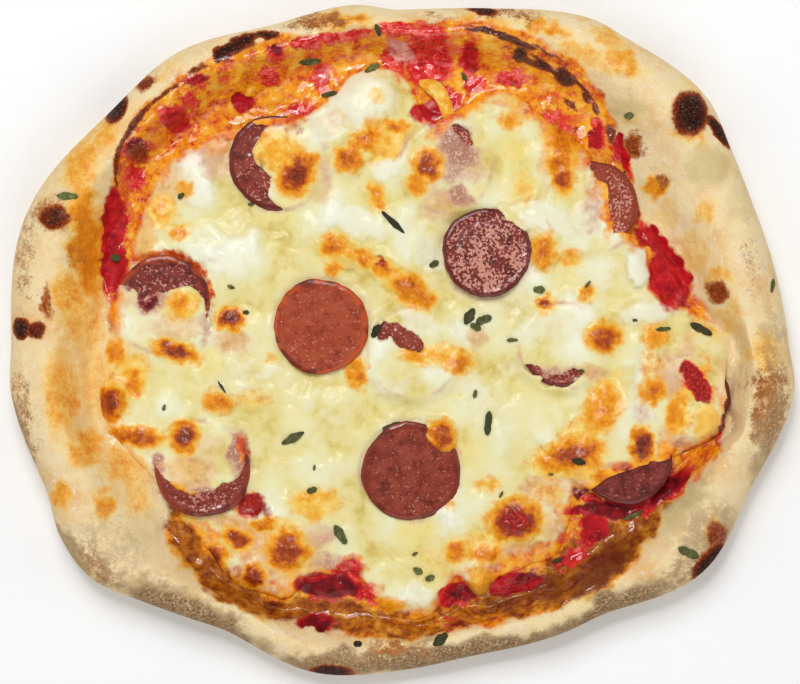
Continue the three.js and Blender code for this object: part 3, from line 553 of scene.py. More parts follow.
# Tomato in the sauce, and what has baked on the rim.
RED_SAUCE = spots(
    (8.1, 85, 9, 12, 0, 1), (-1.8, 93.3, 6, 3.4, 0, 1), (-18.3, 91.4, 14, 2.8, 7, 0.95),
    (-28.5, 88.6, 6, 3, 0, 0.9), (-24.6, 79.5, 3.6, 6, 0, 0.8), (-30, 69.3, 5, 3, 0, 0.8),
    (-61.5, 77.7, 4, 3.4, 0, 0.85), (-63, 71.7, 4, 3, 0, 0.8), (-67.5, 66.3, 6, 4.6, 20, 1),
    (-47.7, 71.7, 3.4, 3.8, 0, 0.9), (-39.3, 79.2, 4.4, 3, -15, 0.95), (-37.5, 86.1, 3.4, 3, 0, 0.85),
    (-53, 79.2, 2.6, 2.6, 0, 0.6), (-79, 57.3, 5.6, 4.4, 0, 0.95), (-79.8, 49.5, 3.6, 4.4, 0, 0.95),
    (-85.4, 31, 3.6, 15, -4, 1), (-86.7, 20, 5.4, 8, 0, 1), (-71, 25, 13, 3.6, -8, 0.7),
    (-59, 17, 4, 8, 15, 0.7), (45.6, 65.7, 7, 6, 0, 0.7), (59.4, 62.5, 3, 6, 10, 0.9),
    (66.3, 55.5, 2.4, 8, 25, 0.95), (69.5, 42, 3.2, 8, 15, 1), (76, 32, 7, 4.4, -35, 1),
    (80.7, 18.5, 6, 10, 12, 1), (74, 12, 7, 3, -20, 0.7), (20.4, 84.6, 3.8, 6, 0, 0.9),
    (21.9, 77, 5, 3, 10, 0.85), (32.7, 78.6, 5.4, 3.4, 0, 0.95), (13, 72, 6, 5, 0, 1),
    (87.6, -11.7, 8.5, 3.6, -58, 1), (95.5, -27, 2.4, 7, 0, 0.8), (78, -46, 13, 3.4, 35, 1),
    (60, -50, 9, 3, -25, 1), (68.5, -51, 10, 2.6, 5, 1), (57, -57.5, 5, 5, 0, 1),
    (17.4, -76, 8, 4, 15, 1), (34.2, -73, 10, 4, 18, 0.95), (51.6, -65.4, 8, 3, 25, 0.9),
    (-21.6, -74.5, 11, 4, 0, 1), (-10.5, -76, 5, 3.6, 0, 0.9), (-16, -69, 6, 5, 0, 0.9),
    (-25.5, -85, 6.6, 2.6, 0, 0.95), (-44.7, -49.3, 6, 5, 0, 1), (15, -84.4, 5, 1.8, 0, 0.6),
    (6, 66, 8, 4, 0, 0.9), (-2, 84, 5, 8, 0, 0.8),
)
# Pools of smooth wet tomato.
POOLED = spots(
    (80.7, 18.5, 6.4, 10.6, 12, 1), (-21.5, -73.6, 11, 3.8, -4, 1), (-86.4, 33, 3.6, 14, -3, 1),
    (-86.4, 22, 4.6, 5, 0, 1), (75.5, 30.5, 6, 4, -35, 1), (16, -76, 6, 4, 25, 0.9),
    (34.5, -73, 8, 3.6, 12, 0.95), (58.5, -56, 4.4, 4.6, 30, 1), (88.4, -12, 7.6, 3, -60, 1),
    (-47.5, 71.8, 3.2, 3.6, 0, 0.9), (66.5, 58, 2, 5, 25, 0.9), (-45, -49, 4, 3.4, 0, 0.8),
    (62, -50.5, 14, 2.6, 3, 0.9), (81, -44, 9, 2.6, 42, 0.9), (7, 68.5, 5, 3.4, 0, 0.9),
    (58.8, 61.6, 2, 4.6, -15, 0.9), (-67, 66, 4.4, 3.2, 15, 0.7), (-60.5, 77.6, 3.6, 1.6, 30, 0.9),
    (-37.5, 86.4, 3, 1.8, -20, 0.9), (21, 84.6, 3, 4.4, 0, 0.7), (-26, -84.5, 6, 2.2, 0, 0.8),
)
# Pinkish white skin of fat on the tomato.
HAZE = spots(
    (-0.2, 86.8, 4.8, 2.6, -32, 1), (-14, 86, 8, 2.6, 24, 0.35), (-23, 80, 5, 3, 30, 0.5),
    (9, 71.4, 3, 2, 0, 0.5), (76, 10, 4, 2.6, 0, 0.6), (84, 12, 2.4, 3.4, 0, 0.4),
)
# Where cheese or oily dough follow each other without sauce between.
SAUCELESS = spots(
    (-92, -4, 7, 15, 0, 1), (-94, -22, 8, 16, 0, 1), (-85, -40, 13, 16, 15, 1),
    (-78, -50, 9, 8, -30, 1), (97.5, -4, 5, 15, 0, 1), (100.5, -24, 4.4, 13, 0, 1),
    (97, 12, 5, 8, 0, 0.8), (-91, 10, 4, 8, 0, 0.7),
)
DARK_SAUCE = spots(
    (-79, 57.3, 4, 3, 0, 0.8), (-86, 28, 2, 12, 0, 0.4), (-21.6, -74, 11, 4, 0, 1),
    (-25.5, -85, 6, 2.4, 0, 0.9), (20, -75.5, 9, 3, 15, 0.8), (40, -70, 12, 3, 22, 0.6),
    (62, -51, 12, 3, -10, 0.9), (80, -45, 10, 3, 40, 0.7), (-37, 87, 3, 2.4, 0, 0.7),
    (-65, 75, 6, 2, 40, 0.5), (-84, 14, 4, 4, 0, 0.5), (93, -30, 2.4, 7, 0, 0.7),
    (60, -67.5, 14, 5.4, 36, 1), (44, -75, 9, 3.4, 20, 0.8), (30, -79, 8, 2.6, 10, 0.7),
    (-78, 57, 4, 5, 0, 0.8), (17, -84.6, 4, 2, 0, 0.8),
)
# Dried tomato darkened to brown along the lower right, with oil on it.
BROWN_SAUCE = spots(
    (56, -67, 23, 9, 36, 1), (34, -77, 16, 6, 14, 0.85), (75, -54, 11, 7, 48, 0.85),
    (18, -82, 16, 4, 5, 0.6), (-70, -53, 6, 4, -60, 1), (-64.5, -61, 9, 5, -58, 1),
    (-57, -71, 10, 5, -45, 1), (-46, -78.6, 11, 5, -30, 1), (-35, -83.6, 10, 5, -15, 1),
    (-12, -84, 18, 4.5, 2, 0.7), (2, -87, 18, 4.5, 0, 0.6), (-23, -80, 15, 4, -3, 0.95),
)
# Oil and cheese fat soaked into the dough: orange yellow.
OILED = spots(
    (-93.5, 29, 6.5, 25, 3, 0.95), (-95, 53, 8, 12, 0, 0.7), (-95, 6, 9, 14, 0, 0.6),
    (-101, -16, 7, 18, 5, 0.66), (-92, -12, 8, 18, 0, 0.5), (-99, 14, 6, 10, 0, 0.7),
    (-101, -46, 4.4, 5.8, 0, 0.75), (-88, -48.5, 5, 5.8, 0, 0.75), (-94, -32, 7, 8, 0, 0.7),
    (-83, -38, 8, 11, 40, 0.62), (-79, -47, 5, 9, 30, 0.6), (-5, -86, 14, 4.6, 0, 0.7),
    (14, -85, 12, 3.4, 8, 0.5), (70, -57, 6, 13, -42, 0.85), (60, -72, 12, 3.4, 38, 0.8),
    (108, -3, 6, 9, 0, 0.6), (98, 8, 4, 7, 0, 0.5), (90, 38.7, 4, 5, 0, 0.6),
    (94.5, 19.8, 4, 6, 0, 0.6), (66, 83, 9, 5, -38, 0.75), (62, 90, 9, 4.5, -33, 0.62),
    (55, 85, 12, 4, -30, 0.6), (43, 93.5, 11, 3, -18, 0.75), (76, 46.5, 4.6, 4.4, 0, 0.9),
    (24.6, 94, 11, 3, 0, 0.75), (79, 38, 5, 6, 0, 0.4), (86, 60.6, 8, 2.4, -20, 0.6),
    (88, 76, 5, 5, 0, 0.45), (-19, 95.5, 14, 3.6, 0, 0.85), (-80, 68, 4, 6, -30, 0.35),
    (-88, 61, 6, 8, -20, 0.7), (-71, 80, 10, 3.4, 38, 0.4), (69, 67, 4, 3, 0, 0.5),
    (-62, -66, 12, 4, -42, 0.8), (-47, -77, 14, 3.6, -26, 0.7), (93, -56, 4, 5, 0, 0.8),
    (88, 26, 5, 9, 0, 0.45), (-104, 62, 4, 4, 0, 0.3), (-18, -97, 8, 3, 0, 0.6),
    (31, 91, 8, 3, -10, 0.6),
)
# Browned dough.
TANNED = spots(
    (-91, -67, 13, 8, -40, 0.6), (-112.5, -24, 5, 20, 8, 0.6), (109, -20, 8, 18, 0, 0.85),
    (0, -93.6, 17, 4.6, 0, 1), (-24, 95, 12, 2.8, 4, 0.85), (12, 96.6, 9, 2.2, -4, 0.6),
    (-78, 82, 12, 5, 42, 0.5), (-105, 58, 6, 10, -30, 0.4), (104, 22, 4, 18, 10, 0.35),
    (-20, -97, 14, 4, 0, 0.8), (85, -68, 12, 6, 35, 0.5), (30, 98, 16, 3, -6, 0.7),
    (-30, 98, 10, 3, 0, 0.6), (-70, -76, 16, 5, -30, 0.4), (-97, 25, 3, 4, 0, 0.5),
    (-105, 12, 1.8, 6, 0, 0.8), (-104, 37, 9, 7, 0, 0.6), (107, -18, 7, 12, 0, 0.5),
    (93.9, -57, 4.6, 4, 0, 0.95), (69.6, 59, 3.4, 5.4, 20, 0.9), (78, 48.4, 2.8, 2.6, 0, 0.8),
    (94.5, 14.4, 3, 3.6, 0, 0.95), (-76, 77, 5, 3, 30, 0.7), (-112, 26, 5, 24, 0, 0.5),
)
# Floury grey brown, darkened further as painted shade where the rim faces away from the light.
FLOUR_AND_SHADE = spots(
    (-62, -83, 26, 8, -28, 1), (-86, -62, 14, 10, -40, 0.4), (20, -93, 40, 5, 8, 0.9),
    (62, -82, 24, 8, 28, 0.9), (92, -60, 12, 16, -30, 0.55), (109, -30, 6, 20, -10, 0.55),
    (-114, -30, 3.4, 18, 8, 0.6), (-20, -96, 20, 5, 0, 0.8), (-100, -62, 6, 12, 30, 0.6),
    (110, 0, 5, 14, 0, 0.4), (84, -44, 8, 10, -30, 0.45), (68, 70, 6, 6, 0, 0.2),
)
# Olive painted shade on the inner slope of the rim.
PAINTED_SLOPE_SHADE = spots(
    (84, -48, 6, 14, -35, 0.8), (67, 69, 8, 7, 0, 0.8), (99, 46, 6, 9, 0, 0.4),
    (-76, -56, 10, 9, 0, 0.5), (-76, -44, 6, 8, 0, 0.4), (98, -8, 3, 12, 0, 0.5),
    (91, 52, 8, 8, 0, 0.9), (100, 42, 5, 10, 0, 0.5),
)
# Charred spots, 0.5 brown to 1 black.
CHARRED = spots(
    (85.8, 67.5, 5.4, 6.4, 0, 1), (94.8, 62.4, 5.6, 1.9, -52, 0.95), (-85, 69.3, 4.8, 3.2, 65, 0.98),
    (-102.6, 36.6, 5, 3.8, 0, 0.72), (-113, 3.6, 3, 2.8, 0, 0.98), (-108, 3.2, 3, 2.6, 0, 0.76),
    (24.6, 98.4, 4.4, 1.7, -8, 0.9), (-20.7, -99, 6.5, 2.4, 0, 0.95), (93, -66.5, 7, 4.4, 48, 0.98),
    (-97, 25, 2.6, 4, -30, 0.16), (-105, 12, 1.6, 6, 0, 0.34), (93.6, -57.5, 4, 4, 0, 0.42),
    (35.6, 85.4, 2.6, 2.2, -20, 0.85), (42.6, 82.3, 2.8, 1.4, -35, 0.8), (49, 79, 3.6, 2, -40, 0.85),
    (55.4, 73, 2, 1.2, -50, 0.6), (26, 91.8, 8, 0.9, -12, 0.8), (34, 89.2, 7, 1, -22, 0.75),
    (30, 90.6, 3, 1.4, -20, 0.7), (45, 81, 8, 0.7, -38, 0.6), (51, 71, 3, 1, -45, 0.5),
    (54, 76, 6, 0.6, -42, 0.62), (44, 85.6, 7, 0.5, -30, 0.45), (38, 84, 6, 1, -30, 0.6),
    (58.5, 70, 1, 2.4, 20, 0.5), (78.4, 48.8, 1.6, 1.6, 0, 0.3), (94.5, 14.4, 2.6, 3.2, 0, 0.42),
    (69.8, 58.4, 2, 4.2, 25, 0.42), (29, -98, 3, 1.4, 0, 0.5), (-76.5, 76.8, 3, 2, 30, 0.5),
    (63, 62, 1.2, 3, 0, 0.6),
)
# The burnt fold along the far left of the rim, as a path of its middle line with half widths.
BURNT_FOLD = (
    (-37, 91.2, 0.7), (-42, 90.8, 1.3), (-47.5, 89, 1.7), (-53, 86, 1.9), (-57, 83.2, 1.1),
    (-62, 79.8, 0.6), (-66.5, 76.6, 0.8), (-70.5, 73.4, 0.5), (-74.6, 70, 0.5), (-77.6, 66.8, 0.8),
    (-80.2, 63, 0.8), (-82.6, 58.8, 0.6), (-84.2, 55, 0.6), (-84.9, 51, 0.5), (-85.2, 46, 0.4),
)
# Where dried sauce boiled into round bubbles.
BUBBLED = spots((-62, 68, 20, 13, 35), (-40, 78, 16, 9, 10), (38, 80, 20, 8, -30), (0, 84, 20, 10))
BUBBLES = spots(
    (-54.6, 69.9, 3, 3, 0, 1.1), (-45.6, 80.7, 2.4, 2.4, 0, 1.0), (-44, 84.5, 3.4, 2, 10, 0.7),
    (-61, 74.6, 2.2, 2.2, 0, 0.5), (-50.5, 75.5, 2.6, 2.2, 0, 0.5), (-33, 75, 2.6, 2.6, 0, 0.4),
    (56, 63, 2, 2.4, 0, 0.6), (63.6, 60, 2.2, 2.6, 0, 0.7),
)


@dataclass(frozen=True)
class Slice:
    """One slice: node, middle, radius, height of its underside, tilts, and what shows of it.

    `bare` are the patches that show, and `covered` those of them that cheese still hides.
    """

    node: str
    x: float
    y: float
    radius: float
    height: float
    tilt_x: float
    tilt_y: float
    bare: tuple[Spot, ...]
    covered: tuple[Spot, ...] = ()
    redness: float = 0.5
    # How many pink specks the meat has: fat grains and painted glints of light.
    fat_and_glint: float = 0.4
    rind: float = 0.0


def whole(x: float, y: float) -> tuple[Spot, ...]:
    """A patch larger than any slice, so that all of it shows."""
    return spots((x, y, 40, 40))


# Where each slice lies, and where the cheese leaves it bare.
SLICES = (
    Slice("slice_centre", -23.9, 4.4, 14.4, 8.2, 2, -3, whole(-23.9, 4.4), (), 0.12, 0.3, 0.9),
    Slice("slice_right", 25.5, 26.4, 13.5, 8.5, -3, 3, whole(25.5, 26.4),
          spots((35, 37.4, 7, 3, -32)), 0.95, 1.0),
    Slice("slice_lower", 3, -39, 15, 7.7, 2, 2, whole(3, -39), spots((12, -27.5, 4.8, 6, 20)),
          0.65, 0.3, 0.2),
    Slice("slice_upper_left", -37.5, 53.7, 14.4, 7.2, 2, 2, whole(-37.5, 53.7),
          spots((-35, 57, 10, 9), (-30, 48, 11, 8, 35), (-26, 58, 10, 11), (-36, 67, 10, 3.6)),
          0.8, 0.5),
    Slice("slice_left", -71.4, 11.4, 14.4, 7.1, 2, 1, whole(-71.4, 11.4),
          spots((-72, 1.6, 14, 14), (-65.6, 8, 8, 9), (-83, 10, 5.4, 8)), 0.95, 0.7, 0.6),
    Slice("slice_lower_left", -59.4, -38.7, 14.4, 7.1, -2, 1, whole(-59.4, -38.7),
          spots((-61.5, -36, 12, 10.6), (-66, -30, 12, 8), (-53.6, -32, 7.6, 11.4, 8)), 0.72, 0.62, 0.3),
    Slice("slice_lower_right", 67.2, -35.1, 14.2, 7, -2, 1, whole(67.2, -35.1),
          spots((59, -33, 15, 12.4, -2), (69, -29.6, 8, 12.6), (76.5, -28.6, 7, 9),
                (60, -24, 6, 5)), 1.0, 0.15),
    Slice("slice_far_right", 87, -16.6, 12, 7, 0, -1, spots((98.4, -24, 1.5, 6)), (), 0.8, 0.2),
    Slice("slice_upper_right", 57.3, 40.5, 13.8, 7, 1, 1, whole(57.3, 40.5),
          spots((52.4, 36, 12.6, 19, 6), (49, 53, 9, 9), (67, 26.4, 8, 6.6)), 0.4, 0.85, 0.25),
    Slice("slice_top", 13.4, 52.4, 13.4, 7, 1, 0, spots((18.6, 61.6, 4.6, 1.6, -50)), (), 0.5, 0.9),
    Slice("slice_middle", 3.6, -3.6, 13.2, 7, -1, 0,
          spots((1.6, 0.8, 6.6, 2.9, -32), (-6, 3.2, 2.4, 3.4)), (), 0.6, 0.6),
    Slice("slice_middle_right", 48.3, -1.5, 12.6, 7, -2, 0,
          spots((48, -11.6, 7, 2, 14), (40, -8.8, 3.8, 1.3, -24)), (), 0.7, 0.6),
)


@dataclass(frozen=True)
class Terrain:
    """The heights of the dough, the sauce and the cheese over each place."""

    gap: float = 0.3
    base: float = 5.0
    rim: float = 18.5
    undercut: float = 7.0
    waist: float = 0.42
    sauce: float = 0.9
    cheese: float = 2.7
    slice: float = 3.2
    dome: float = 0.35
    bevel: float = 0.7

    @property
    def sauce_floor(self) -> float:
        """Height of the sauce's underside."""
        return self.base + self.gap

    @property
    def cheese_floor(self) -> float:
        """Height of the cheese's underside."""
        return self.sauce_floor + self.sauce + self.gap

    def floor_edge(self, angle: Array) -> Array:
        """Where the flat floor ends: outside the cheese and inside the sauce."""
        low, high = CHEESE_EDGE.radius(angle) + 0.6, SAUCE_EDGE.radius(angle) - 0.8
        return np.clip(FLOOR_EDGE.radius(angle), low, np.maximum(low, high))

    def rim_height(self, angle: Array) -> Array:
        """Height of the crest: a mean, thicker at both ends of the oval, and uneven."""
        uneven = 0.7 * np.sin(5 * angle + 0.6) + 0.5 * np.sin(9 * angle + 2.1)
        return self.rim + 2.0 * np.cos(2 * angle) + uneven

    def crest(self, angle: Array) -> Array:
        """Radius of the crest: well inside at both ends, near the edge in front and behind."""
        inset = 10.0 + 3.0 * np.cos(2 * angle)
        return np.maximum(OUTER_EDGE.radius(angle) - inset, self.floor_edge(angle) + 4.0)

    def crust_top(self, at: Places) -> Array:
        """Flat floor, then the square of a sine up to the crest, then a quarter ellipse to the waist.

        Args:
            at: The places.

        Returns:
            The height at each place, in mm.
        """
        floor, crest = self.floor_edge(at.angle), self.crest(at.angle)
        outer, height = OUTER_EDGE.radius(at.angle), self.rim_height(at.angle)
        foot = floor + 2.0 * fractal(at.x, at.y, 11, 63, 3)
        inner = np.clip((at.radius - foot) / (crest - foot), 0.0, 1.0)
        rise = np.sin(inner * np.pi / 2) ** 2
        brow = np.clip((at.radius - crest) / (outer - crest), 0.0, 1.0)
        fall = np.sqrt(1.0 - brow * brow)
        relief = at.bumps(CRUST_BUMPS) + self.dough_relief(at)
        joined = smoothstep(-1.5, 0.0, at.radius - CHEESE_EDGE.radius(at.angle))
        joined = joined * at.cover(SAUCELESS, 0.6, 1.2, 1.0)
        slope = lerp(self.base + 1.8 * joined, height, rise) + rise * relief
        outside = lerp(self.waist * height, height, fall) + fall * relief
        return np.where(at.radius <= crest, slope, outside)

    def dough_relief(self, at: Places) -> Array:
        """Fine unevenness of baked dough: soft humps, small blisters and a skin wrinkle.

        Args:
            at: The places.

        Returns:
            The height at each place, in mm.
        """
        x, y = at.x, at.y
        blisters = 0.75 * pebbles(x + 2.0 * noise(x, y, 9, 90), y + 2.0 * noise(x, y, 9, 91), 12, 12)
        creases = -0.3 * (1 - smoothstep(0.0, 0.1, np.abs(fractal(x, y, 26, 60, 3))))
        skin = 0.09 * fractal(x, y, 2.4, 64, 3)
        charred = at.cover(CHARRED, 0.4, 1.2, 0.8, 2.5)
        bubbled = at.cover(OILED, 0.5, 1.3) * (mounds(x, y, 6.5, 95) + 0.3 * pebbles(x, y, 2.4, 96) - 0.3)
        return 0.8 * fractal(x, y, 17, 61, 3) + blisters + creases + skin + 0.9 * charred + bubbled

    def sauce_top(self, at: Places) -> Array:
        """The sauce over the crust: thick inside, pulp and lumps of tomato, thin at its edge.

        Args:
            at: The places.

        Returns:
            The height at each place, in mm.
        """
        x, y = at.x, at.y
        wave = 0.8 * fractal(x, y, 7, 40, 3)
        room = smoothstep(0.0, 4.0, SAUCE_EDGE.radius(at.angle) + wave - at.radius)
        red = at.cover(RED_SAUCE, 0.35, 1.15, 1.4, 2.5)
        bend = 0.8 * noise(x, y, 4, 47)
        pulp = 0.32 * pebbles(x + bend, y - bend, 3.6, 49) + 0.16 * pebbles(x, y, 1.5, 46)
        calm = np.maximum(at.cover(POOLED, 0.7, 1.15, 1.0, 2.5), at.cover(BROWN_SAUCE, 0.5, 1.2))
        pulp = pulp * (1.0 - 0.8 * calm) + 0.3 * self.wrinkles(x, y) * at.cover(BROWN_SAUCE[:1])
        bend = 1.4 * noise(x, y, 6, 48)
        boiled = 0.9 * mounds(x + bend, y - bend, 5.6, 45) * at.cover(BUBBLED, 0.6, 1.3, 1.0)
        relief = 0.6 * np.maximum(0, at.bumps(SAUCE_BUMPS)) + 0.4 * red + pulp * (0.5 + red) + boiled
        rings = at.bumps(BUBBLES)
        level = self.crust_top(at) + self.gap * room + (0.35 + relief) * room - 0.15 + rings
        beside = smoothstep(5.0, 0.0, at.radius - CHEESE_EDGE.radius(at.angle) + 2.5 * wave)
        return np.maximum(level, lerp(level, self.cheese_floor + 0.28, beside))

    def wrinkles(self, x: Array, y: Array) -> Array:
        """Long low ridges along the rim at the lower right, where the oily sauce dried as a skin.

        Args:
            x, y: Places, in mm.

        Returns:
            The relief at each place, from 0 to 1.
        """
        lean = math.radians(BROWN_SAUCE[0].turn)
        along, across = x * math.cos(lean) + y * math.sin(lean), y * math.cos(lean) - x * math.sin(lean)
        return 1.0 - smoothstep(0.0, 0.35, np.abs(fractal(along / 2.4, across, 3.6, 58, 2)))

    def slice_top(self, piece: Slice, x: Array, y: Array) -> Array:
        """Height of a tilted slice's upper face, as a plane."""
        up_y, up_x = math.sin(math.radians(piece.tilt_x)), math.sin(math.radians(piece.tilt_y))
        return piece.height + self.slice + (y - piece.y) * up_y - (x - piece.x) * up_x

    def curds(self, at: Places) -> Array:
        """Relief of half-melted curds: soft hills of three sizes, calmer in some regions.

        Args:
            at: The places.

        Returns:
            The relief at each place, in mm.
        """
        bend_x, bend_y = 2.2 * fractal(at.x, at.y, 11, 20, 3), 2.2 * fractal(at.x, at.y, 11, 24, 3)
        x, y = at.x + bend_x, at.y + bend_y
        busy = 0.3 + 0.7 * smoothstep(-0.5, 0.6, fractal(at.x, at.y, 26, 27, 2))
        big = 1.4 * mounds(x, y, 13.0, 30) + 0.8 * pebbles(x, y, 9.0, 31) - 0.95
        small = 0.6 * mounds(x, y, 5.6, 32) + 0.22 * pebbles(x, y, 4.0, 33) - 0.3
        tiny = 0.12 * mounds(x, y, 2.2, 34) - 0.04
        return 0.35 * fractal(at.x, at.y, 15, 28, 2) + big + (small + tiny) * busy

    def cheese_top(self, at: Places) -> Array:
        """The cheese: swelling from its edge, in curds and lumps, draped over covered slices.

        Args:
            at: The places.

        Returns:
            The height at each place, in mm.
        """
        room = np.maximum(0.0, CHEESE_EDGE.radius(at.angle) - at.radius)
        swell = 1.0 - np.exp(-room / 3.0)
        calm = 1.0 - 0.75 * at.cover(FAT_AND_SHADE, 0.4, 1.3, 1.5, 7.0)
        toasted = at.cover(TOASTED, 0.3, 1.2, 1.0, 2.5)
        blister = toasted ** 2 * (1.0 + 0.6 * fractal(at.x, at.y, 2.2, 52, 3))
        clumps = 0.8 * at.cover(WHITE_CHEESE_AND_HIGHLIGHT, 0.6, 1.15, 1.2) + at.cover(CHUNKS, 0.8, 1.15, 0.9)
        body = self.cheese + at.bumps(CHEESE_LUMPS, 3.0) + self.curds(at) * calm + blister + clumps
        thin = 1.0 - 0.55 * at.cover(THIN_CHEESE, 0.3, 1.2, 1.5)
        top = self.cheese_floor + np.maximum(0.25, lerp(0.35, body * thin, swell))
        for piece in SLICES:
            top = self.drape(piece, at, top)
        return top

    def shown(self, piece: Slice, at: Places) -> Array:
        """How much of a slice the cheese leaves bare at each place."""
        bare = at.cover(piece.bare, 0.86, 1.06, 0.9)
        return bare * (1.0 - at.cover(piece.covered, 0.88, 1.04, 0.9))

    def drape(self, piece: Slice, at: Places, natural: Array) -> Array:
        """Lifts the cheese over a covered slice, and drops it inside a bare one.

        Args:
            piece: The slice.
            at: The places.
            natural: Height of the cheese without the slice, in mm.

        Returns:
            The height of the cheese with it, in mm.
        """
        here = at.near(Spot(piece.x, piece.y, piece.radius, piece.radius), 1.35, 0.0)
        if not len(here):
            return natural
        spot = Places(at.x[here], at.y[here])
        flat = natural[here]
        reach = np.hypot(spot.x - piece.x, spot.y - piece.y) / piece.radius
        bare = self.shown(piece, spot)
        face = self.slice_top(piece, spot.x, spot.y)
        veil = 0.8 + 0.45 * (flat - self.cheese_floor - self.cheese)
        covered = np.maximum(flat, face + np.maximum(0.75, veil))
        shoulder = 1.0 - smoothstep(0.93, 1.32, reach)
        draped = lerp(flat, covered, shoulder * (1.0 - bare))
        inside = (1.0 - smoothstep(0.9, 0.99, reach)) * bare
        result = natural.copy()
        result[here] = lerp(draped, np.minimum(flat, face - 0.8), inside)
        return result


TERRAIN = Terrain()


# ------------------------------------------------------------------ patches of colour

# For each patch of colour: its spots, where in half widths it is full and where it ends, how many
# mm its places are shifted at random, and how long in mm the waves of that shift are.
COVERS = {
    "red": (RED_SAUCE, 0.45, 1.25, 1.3, 2.5), "dark": (DARK_SAUCE, 0.3, 1.3, 1.4, 5.0),
    "umber": (BROWN_SAUCE, 0.4, 1.25, 1.5, 5.0), "haze": (HAZE, 0.4, 1.3, 1.2, 2.5),
    "oil": (OILED, 0.3, 1.3, 2.0, 5.0), "tan": (TANNED, 0.3, 1.35, 2.0, 5.0),
    "ash": (FLOUR_AND_SHADE, 0.4, 1.4, 2.6, 7.0), "damp": (PAINTED_SLOPE_SHADE, 0.3, 1.4, 2.0, 7.0),
    "char": (CHARRED, 0.5, 1.35, 0.6, 5.0), "film": (FILM, 0.4, 1.35, 1.6, 5.0),
    "amber": (AMBER, 0.4, 1.5, 1.6, 5.0), "fat": (FAT_AND_SHADE, 0.2, 1.4, 2.4, 7.0),
    "toast": (TOASTED, 0.3, 1.6, 1.2, 3.6), "rosy": (RED_IN_CHEESE, 0.3, 1.3, 1.2, 2.5),
    "wine": (WINE, 0.4, 1.3, 1.0, 2.5), "arc": (ARCS, 0.3, 1.4, 1.0, 2.5),
    "blush": (BLUSHING, 0.3, 1.35, 1.6, 5.0),
}


def paint(at: Places) -> dict[str, Array]:
    """Every patch of colour at each place, from 0 to 1, by name.

    The same patches are stored on the crust, the sauce and the cheese, so that their colours
    meet without a seam.

    Args:
        at: The places.

    Returns:
        For each patch's name, its strength at each place.
    """
    sauce_room = SAUCE_EDGE.radius(at.angle) + 1.6 * fractal(at.x, at.y, 8, 40, 3) - at.radius
    cheese_room = CHEESE_EDGE.radius(at.angle) + 1.2 * fractal(at.x, at.y, 6, 42, 3) - at.radius
    milk = smoothstep(-0.6, 2.6, cheese_room)
    pool = at.cover(POOLED, 0.66, 1.22, 1.3)
    dry = at.cover(SAUCELESS, 0.6, 1.3, 1.6)
    white = at.cover(WHITE_CHEESE_AND_HIGHLIGHT, 0.4, 1.4, 1.6)
    margin = 1.0 - smoothstep(1.0, 9.0, cheese_room + 5.0 * fractal(at.x, at.y, 6, 44, 3))
    butter = at.cover(BUTTERY, 0.5, 1.3, 1.2)
    bare = margin * (1.0 - white) * (1.0 - dry) * (1.0 - butter)
    milk = milk * (1.0 - 0.6 * bare) * (1.0 - pool)
    milk = milk * (1.0 - 0.85 * at.cover(THIN_CHEESE, 0.3, 1.3, 1.8))
    faint = 1.0 - smoothstep(0.5, 5.5, cheese_room + 2.5 * fractal(at.x, at.y, 7, 46, 3))
    milk = milk * (1.0 - 0.9 * dry * faint)
    sauced = smoothstep(-1.6, 2.2, sauce_room) * (1.0 - dry)
    bend = 1.4 * noise(at.x, at.y, 6, 48)
    # A ring of blush round each slice: meat juice in the cheese, and painted shade where the cheese meets
    # the slice's edge.
    ring = np.zeros_like(at.x)
    for piece in SLICES:
        reach = np.hypot(at.x - piece.x, at.y - piece.y) / piece.radius
        ring = np.maximum(ring, np.exp(-((reach - 1.03) / 0.07) ** 2))
    ring = ring * smoothstep(-0.9, 0.9, fractal(at.x, at.y, 9, 49, 2))
    patches = {name: at.cover(*row) for name, row in COVERS.items()}
    halo = 1.3 * at.cover(TOASTED, 0.5, 1.9, 1.5)
    patches.update(baked=sauced, pool=pool, milk=milk, white=white, butter=butter)
    patches["red"] *= smoothstep(-1.0, 1.5, sauce_room)
    patches["char"] = np.maximum(patches["char"], burnt_fold(at))
    patches["amber"] = np.maximum(halo, patches["amber"])
    patches["blush"] = np.maximum(0.6 * ring, patches["blush"])
    # Height of the boiled sauce's lumps, for colour: the yellower tops and redder hollows are painted
    # light and shade.
    patches["lump"] = np.clip(0.9 * mounds(at.x + bend, at.y - bend, 5.6, 45), 0.0, 1.0)
    # Curd height for the cheese's colour: darker and yellower in the hollows, partly thinner cheese and
    # partly painted shade.
    patches["curd"] = np.clip(0.5 + 0.36 * TERRAIN.curds(at), 0.0, 1.0)
    return patches


def painted(points: Array) -> dict[str, Array]:
    """Every patch of colour at the points of a mesh, seen from above."""
    return paint(Places(points[:, 0], points[:, 1]))


def burnt_fold(at: Places) -> Array:
    """Char along the burnt fold: full within its half width of the middle line.

    Args:
        at: The places.

    Returns:
        The strength of the char at each place, from 0 to 1.
    """
    sway_x, sway_y = at.sway(2.5)
    px, py = at.x + 0.35 * sway_x, at.y + 0.35 * sway_y
    best = np.zeros_like(px)
    for (x0, y0, w0), (x1, y1, w1) in zip(BURNT_FOLD, BURNT_FOLD[1:]):
        along = np.clip(((px - x0) * (x1 - x0) + (py - y0) * (y1 - y0))
                        / ((x1 - x0) ** 2 + (y1 - y0) ** 2), 0.0, 1.0)
        off = np.hypot(px - lerp(x0, x1, along), py - lerp(y0, y1, along))
        width = lerp(w0, w1, along)
        best = np.maximum(best, np.clip(width, 0.55, 1.0) * (1.0 - smoothstep(0.2, 2.2, off / width)))
    return best * smoothstep(-0.9, 0.1, fractal(at.x, at.y, 5, 59, 2))


# ------------------------------------------------------------------ meshes

